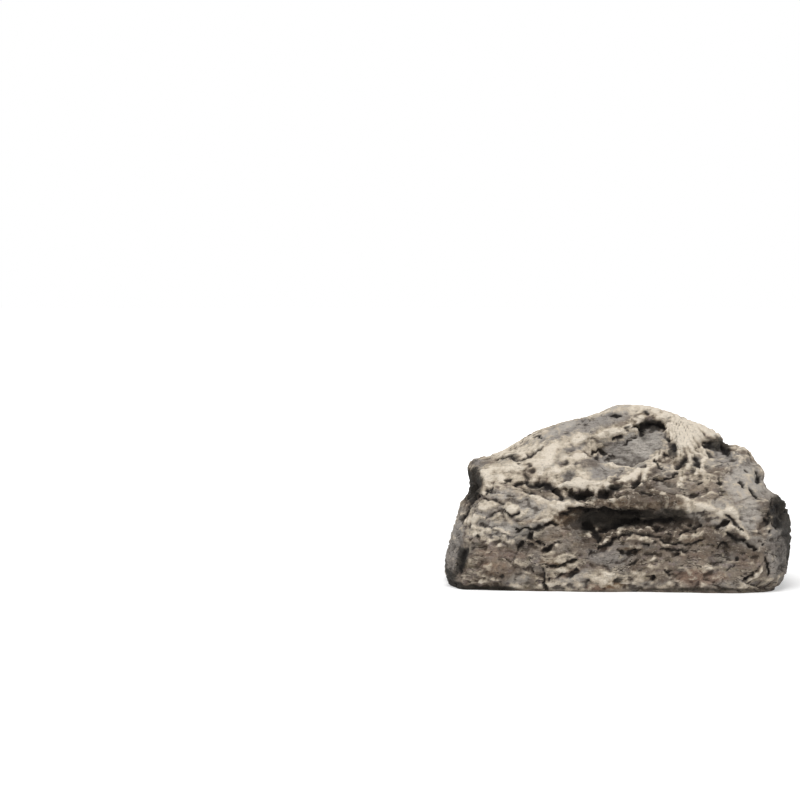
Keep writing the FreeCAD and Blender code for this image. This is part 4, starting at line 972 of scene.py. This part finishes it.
def cut_recess(stone):
    """The stepped seat of frame, flange and tray, the door's way out, and the screw holes."""
    frame_x, frame_y, frame_z = node_box("door_frame")[1]
    flange_x, flange_y, flange_z = node_box("frame_gasket")[1]
    tray_z = node_box("key_tray")[1][2]
    frame_seat = rounded_outline(frame_x + GAP, frame_y + GAP, SEAT_CORNER)
    flange_seat = rounded_outline(flange_x + GAP, flange_y + GAP, SEAT_CORNER)
    tray_seat = rounded_outline(TRAY_HALF_X + GAP, TRAY_HALF_Y + GAP, TRAY_CORNER, TRAY_CENTRE)
    seat = loft(
        "seat",
        (
            (frame_seat, -1.0),
            (frame_seat, frame_z),
            (flange_seat, frame_z),
            (flange_seat, flange_z),
            (tray_seat, flange_z),
            (tray_seat, tray_z + GAP),
        ),
    )
    start, end = frame_x - 2.0, cad_box[1][0] / MM + 2
    half = node_box("slide_door")[1][1] + GAP
    way_out = [(start, -half), (end, -half), (end, half), (start, half)]
    combine(seat, loft("way_out", ((way_out, -0.9), (way_out, WAY_OUT_TOP))), "UNION")
    low, high = node_box("frame_screws")
    for x in (low[0] + SCREW_HEAD, high[0] - SCREW_HEAD):
        for y in (low[1] + SCREW_HEAD, high[1] - SCREW_HEAD):
            turns = [k * math.pi / 8 for k in range(16)]
            ring = [(x + SCREW_HOLE * math.cos(t), y + SCREW_HOLE * math.sin(t)) for t in turns]
            combine(seat, loft("hole", ((ring, SCREW_FOOT), (ring, high[2] + GAP))), "UNION")
    combine(stone, seat, "DIFFERENCE")


# How far the pad's rings are drawn in, and how high they lie as a share of its thickness.
PAD_RINGS = (
    (7.5, 0.0), (4.5, 0.02), (2.2, 0.05), (1.0, 0.09), (0.42, 0.15),
    (0.12, 0.26), (0.00, 0.42), (0.00, 0.70), (0.02, 0.93), (0.30, 1.00),
)
PAD_POINTS = 144  # round each ring


def build_pad():
    """The key pad: soft foam, flat where it is glued up and crowned towards the key."""
    low, high = node_box("key_pad")
    centre, half = (low + high) / 2, (high - low) / 2
    rings = []
    for inset, share in PAD_RINGS:
        outline = []
        for k in range(PAD_POINTS):
            turn = 2 * math.pi * (k + 0.5) / PAD_POINTS
            c, s = math.cos(turn), math.sin(turn)
            grow = (abs(c) ** 8 + abs(s) ** 8) ** (-1 / 8)
            # the sides pull in between the corners
            pull = 0.35 * (1 - abs(math.sin(2 * turn))) * (1 - share * 0.5)
            x = (half[0] - inset - pull) * c * grow
            y = (half[1] - inset - pull) * s * grow
            outline.append((centre[0] + x, centre[1] + y))
        rings.append((outline, low[2] + share * (high[2] - low[2])))
    pad = loft("foam_pad", rings)
    pad.data.polygons.foreach_set("use_smooth", [True] * len(pad.data.polygons))
    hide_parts("key_pad")
    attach(pad, "rock")
    return pad


# ---------------- node helpers


class Nodes:
    """A short way to write the nodes of a material or of the world."""

    def __init__(self, name, kind="Material"):
        self.owner = getattr(bpy.data, kind.lower() + "s").new(name)
        self.owner.use_nodes = True
        self.tree = self.owner.node_tree
        self.tree.nodes.clear()
        self.output = self.tree.nodes.new("ShaderNodeOutput" + kind)

    def node(self, kind, **inputs):
        """A node with the named inputs, each a constant or another node's output."""
        node = self.tree.nodes.new("ShaderNode" + kind)
        for name, value in inputs.items():
            self.put(node.inputs[name.replace("_", " ")], value)
        return node

    def put(self, socket, value):
        if isinstance(value, bpy.types.NodeSocket):
            self.tree.links.new(value, socket)
        else:
            socket.default_value = value

    def finish(self, shader):
        self.put(self.output.inputs["Surface"], shader.outputs[0])
        return self.owner

    def field(self, name):
        node = self.node("Attribute")
        node.attribute_name = name
        return node.outputs["Fac"]

    def place(self, stretch=(1, 1, 1)):
        at = self.node("TexCoord").outputs["Object"]
        return self.node("Mapping", Vector=at, Scale=stretch).outputs["Vector"]

    def noise(self, scale, detail, roughness, place=None, distortion=0.0):
        place = place or self.place()
        node = self.node("TexNoise", Vector=place, Scale=scale, Detail=detail)
        self.put(node.inputs["Roughness"], roughness)
        self.put(node.inputs["Distortion"], distortion)
        return node.outputs["Fac"]

    def voronoi(self, scale, place=None):
        place = place or self.place()
        return self.node("TexVoronoi", Vector=place, Scale=scale).outputs["Distance"]

    def math(self, operation, *values):
        node = self.node("Math")
        node.operation = operation
        for socket, value in zip(node.inputs, values):
            self.put(socket, value)
        return node.outputs[0]

    def add(self, a, b):
        return self.math("ADD", a, b)

    def times(self, a, b):
        return self.math("MULTIPLY", a, b)

    def weighed(self, *parts):
        """The sum of parts, each a value or a field's name with its weight."""
        total = None
        for value, weight in parts:
            part = self.times(self.field(value) if isinstance(value, str) else value, weight)
            total = self.add(total, part) if total else part
        return total

    def step(self, value, low, high):
        node = self.node("MapRange", Value=value, From_Min=low, From_Max=high)
        node.interpolation_type = "SMOOTHSTEP"
        return node.outputs["Result"]

    def mix(self, share, a, b):
        node = self.node("Mix")
        node.data_type = "RGBA"
        self.put(node.inputs["Factor"], share)
        for socket, colour in zip(node.inputs[6:8], (a, b)):
            constant = not isinstance(colour, bpy.types.NodeSocket)
            self.put(socket, (*colour, 1.0) if constant else colour)
        return node.outputs[2]

    def coats(self, colour, *layers):
        """Lays coats over a colour: the mask of each, how much it covers, and its shade."""
        for mask, share, shade in layers:
            colour = self.mix(self.times(mask, share), colour, srgb(*shade))
        return colour

    def bump(self, height, distance, strength):
        node = self.node("Bump", Strength=strength, Distance=distance, Height=height)
        return node.outputs["Normal"]

    def surface(self, colour, roughness, normal, **constants):
        shader = self.node("BsdfPrincipled", Base_Color=colour, Roughness=roughness, **constants)
        self.put(shader.inputs["Normal"], normal)
        return self.finish(shader)

    def backdrop_ray(self):
        """1 for the rays that show the backdrop: the camera's, also off metal or through glass."""
        rays = self.node("LightPath").outputs
        seen = self.math("MAXIMUM", rays["Is Camera Ray"], rays["Is Glossy Ray"])
        return self.math("MAXIMUM", seen, rays["Is Transmission Ray"])


def srgb(r, g, b):
    """A colour given as 0 to 255 screen values, as linear numbers."""
    return tuple(
        (c / 255 / 12.92) if c / 255 <= 0.04045 else ((c / 255 + 0.055) / 1.055) ** 2.4
        for c in (r, g, b)
    )


# ---------------- materials


def stone_material():
    n = Nodes("stone_finish")
    fleck = n.noise(750, 5, 0.7)
    grain = n.noise(2300, 3, 0.65)
    streak = n.noise(260, 4, 0.65, n.place((0.6, 0.8, 2.6)))
    uneven = n.weighed((n.add(fleck, -0.5), 1.3), (n.add(streak, -0.5), 1.0))

    def blotches(scale, detail, low, high, *stretch):
        return n.step(n.noise(scale, detail, 0.6, n.place(*stretch)), low, high)

    def ragged(name, spread, low, high):
        """A painted field as a mask with an uneven edge."""
        return n.step(n.add(n.field(name), n.times(uneven, spread)), low, high)

    colour = n.mix(blotches(85, 5, 0.35, 0.65), srgb(114, 100, 88), srgb(149, 135, 120))
    colour = n.mix(blotches(190, 4, 0.42, 0.68), colour, srgb(130, 124, 117))
    colour = n.coats(
        colour,
        (ragged("tone", 0.2, 0.25, 0.75), 0.5, (164, 149, 132)),
        (blotches(330, 3, 0.54, 0.68, (1, 1.1, 1.7)), 0.45, (122, 112, 84)),
        (blotches(410, 3, 0.54, 0.68, (1.1, 0.9, 1.6)), 0.45, (150, 136, 136)),
        (ragged("grey", 0.5, 0.2, 0.75), 0.8, (166, 160, 154)),
        (ragged("pale", 0.6, 0.15, 0.85), 0.75, (203, 196, 187)),
        (ragged("pink", 0.6, 0.25, 0.8), 0.6, (158, 128, 110)),
        (ragged("ochre", 0.6, 0.25, 0.9), 0.7, (138, 108, 72)),
        (ragged("brown", 0.5, 0.1, 0.9), 0.75, (94, 80, 68)),
    )
    # cream brushed over what stands out, with painted light on what faces up
    brushed_and_lit = n.weighed(
        ("mid", -1.2), ("fine", -2.2), ("brush", 0.45), ("up", 0.25), ("cream", 1.05),
        ("brown", -0.9), ("dark_paint_and_shade", -0.6), ("grey", -0.22), (uneven, 1.0),
    )
    # fine seams along the bedding: dark paint and painted shade in each, with a painted highlight
    # on its lower lip
    seam = n.add(n.noise(300, 3, 0.62, n.place((0.6, 0.75, 2.3)), 0.5), -0.5)
    bare = n.add(n.add(n.field("cream"), n.field("pale")), n.times(n.field("grey"), 0.3))
    open_seam = n.times(blotches(420, 3, 0.47, 0.60, (0.8, 0.9, 1.4)), n.step(bare, 1.3, 0.2))
    groove = n.times(n.step(n.math("ABSOLUTE", seam), 0.026, 0.008), open_seam)
    lip = n.times(n.step(n.math("ABSOLUTE", n.add(seam, -0.05)), 0.032, 0.008), open_seam)
    # dark paint and painted shade in what lies low
    sunk_wash_and_shade = n.weighed(("mid", 1.5), ("fine", 2.8), ("relief", -0.10), (uneven, -0.5))
    colour = n.coats(
        colour,
        (n.step(brushed_and_lit, 0.15, 0.95), 0.85, (214, 199, 177)),
        # the brightest cream, partly a painted highlight on crests and tops
        (n.step(brushed_and_lit, 0.7, 1.5), 0.85, (249, 237, 219)),
        (lip, 0.5, (222, 208, 188)),
        (groove, 0.75, (36, 30, 25)),
        (n.step(grain, 0.56, 0.72), 0.35, (52, 44, 36)),
        (n.step(grain, 0.44, 0.30), 0.28, (222, 213, 198)),
        (n.step(sunk_wash_and_shade, 0.08, 1.0), 0.75, (58, 48, 40)),
        # dark paint, and painted shade in the recess and along the foot
        (ragged("dark_paint_and_shade", 0.5, 0.18, 0.72), 0.88, (40, 37, 32)),
        # the darkest coat: dark paint and painted shade in cracks, pits and under ridges
        (ragged("wash_and_shade", 0.4, 0.2, 0.85), 0.9, (22, 18, 15)),
    )
    facets = n.voronoi(1100, n.place((0.8, 0.9, 1.5)))
    rough = n.weighed((fleck, 1.0), (grain, 0.35), (facets, -0.35), (groove, -0.45))
    roughness = n.add(n.times(fleck, 0.25), 0.68)
    return n.surface(colour, roughness, n.bump(rough, 0.0009, 1.0), Specular_IOR_Level=0.3)


def base_material():
    """The flat underside of the casting, as it came from the mould."""
    n = Nodes("stone_base")
    cloud = n.noise(120, 5, 0.6)
    grain = n.noise(1600, 4, 0.65)
    pores = n.step(n.voronoi(420, n.place((1, 1, 0.2))), 0.10, 0.16)
    colour = n.mix(n.step(cloud, 0.35, 0.65), srgb(112, 101, 90), srgb(142, 131, 117))
    colour = n.coats(colour, (n.step(grain, 0.5, 0.75), 0.5, (84, 74, 65)))
    colour = n.mix(n.math("SUBTRACT", 1.0, pores), colour, srgb(48, 42, 36))
    normal = n.bump(n.add(pores, n.times(grain, 0.4)), 0.0003, 0.8)
    return n.surface(colour, n.add(n.times(grain, 0.2), 0.7), normal, Specular_IOR_Level=0.3)


def plastic(name, shade):
    n = Nodes(name)
    grain = n.noise(5200, 2, 0.5)
    cloud = n.noise(180, 3, 0.5)
    colour = n.mix(cloud, tuple(c * 0.85 for c in shade), tuple(c * 1.15 for c in shade))
    scuff = n.step(n.noise(420, 5, 0.7, n.place((0.25, 1, 1))), 0.62, 0.75)
    colour = n.mix(n.times(scuff, 0.25), colour, tuple(min(1, c * 2.2 + 0.02) for c in shade))
    return n.surface(colour, n.add(n.times(cloud, 0.15), 0.40), n.bump(grain, 0.00006, 0.7))


def steel():
    n = Nodes("screw_finish")
    brushed = n.noise(1500, 3, 0.6)
    colour = n.mix(brushed, srgb(150, 150, 152), srgb(196, 196, 196))
    roughness = n.add(n.times(brushed, 0.2), 0.25)
    return n.surface(colour, roughness, n.bump(brushed, 0.00003, 0.5), Metallic=1.0)


def foam(name, light, dark):
    n = Nodes(name)
    pores = n.voronoi(1500)
    colour = n.mix(n.step(pores, 0.15, 0.6), dark, light)
    return n.surface(colour, 0.95, n.bump(pores, 0.0003, 0.8))


GLOW_NEAR = 0.36  # the floor's glow close to the object; far away it is 1


def floor_material():
    """Matt, with a glow that only the backdrop's rays see and that spares the object's shadow."""
    n = Nodes("floor_finish")
    tone = n.mix(n.noise(60, 2, 0.5), (0.80, 0.80, 0.80), (0.82, 0.82, 0.82))
    diffuse = n.node("BsdfDiffuse", Color=tone)
    away = n.node("VectorMath", Vector=n.place())
    away.operation = "LENGTH"
    far = n.step(away.outputs["Value"], 0.07, 0.35)
    glow = n.add(n.times(far, 1 - GLOW_NEAR), GLOW_NEAR)
    strength = n.times(n.backdrop_ray(), glow)
    both = n.node("AddShader")
    for socket, shader in zip(both.inputs, (diffuse, n.node("Emission", Strength=strength))):
        n.put(socket, shader.outputs[0])
    return n.finish(both)


def dress(name, material):
    for slot in nodes[name].material_slots:
        slot.link = "OBJECT"
        slot.material = material


# ---------------- light and floor

AIM = Vector((0, 0, 0.02))  # where the lamps point
FLOOR_HALF = 6.0
KEY_POWER, FILL_POWER, WORLD_LEVEL = 8.1, 1.0, 0.38


def area_light(name, place, size, power):
    data = bpy.data.lights.new(name, "AREA")
    data.shape = "DISK"
    data.size = size
    data.energy = power
    lamp = linked(name, data)
    lamp.location = place
    lamp.rotation_euler = (AIM - Vector(place)).to_track_quat("-Z", "Y").to_euler()


def make_studio():
    corners = [(x * FLOOR_HALF, y * FLOOR_HALF, 0) for x, y in ((-1, -1), (1, -1), (1, 1), (-1, 1))]
    floor = mesh_object("floor", corners, [(0, 1, 2, 3)])
    floor.data.materials.append(floor_material())
    area_light("key", (-0.12, -0.42, 1.0), 0.7, KEY_POWER)
    area_light("fill", (0.7, -0.6, 0.4), 0.8, FILL_POWER)
    world = Nodes("studio", "World")
    level = world.node("MapRange", Value=world.backdrop_ray(), To_Min=WORLD_LEVEL, To_Max=1.0)
    strength = level.outputs["Result"]
    scene.world = world.finish(world.node("Background", Color=(1, 1, 1, 1), Strength=strength))
    scene.view_settings.view_transform = "Standard"


# ---------------- put together

make_camera()
stone = build_stone()
cut_recess(stone)
stone.data.materials.clear()
stone.data.materials.append(stone_material())
stone.data.materials.append(base_material())
for face in stone.data.polygons:
    under = face.normal.z < -0.95 and face.center.z < 0.02 * MM
    face.material_index = int(under)
    face.use_smooth = face.use_smooth and not under
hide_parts("rock_shell")
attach(stone, "rock")

dress("door_frame", plastic("frame_finish", srgb(58, 58, 60)))
dress("slide_door", plastic("door_finish", srgb(66, 66, 68)))
dress("key_tray", plastic("tray_finish", srgb(40, 40, 42)))
dress("frame_gasket", foam("gasket_finish", srgb(46, 46, 46), srgb(18, 18, 18)))
build_pad().data.materials.append(foam("pad_finish", srgb(92, 92, 94), srgb(40, 40, 42)))
dress("frame_screws", steel())
make_studio()
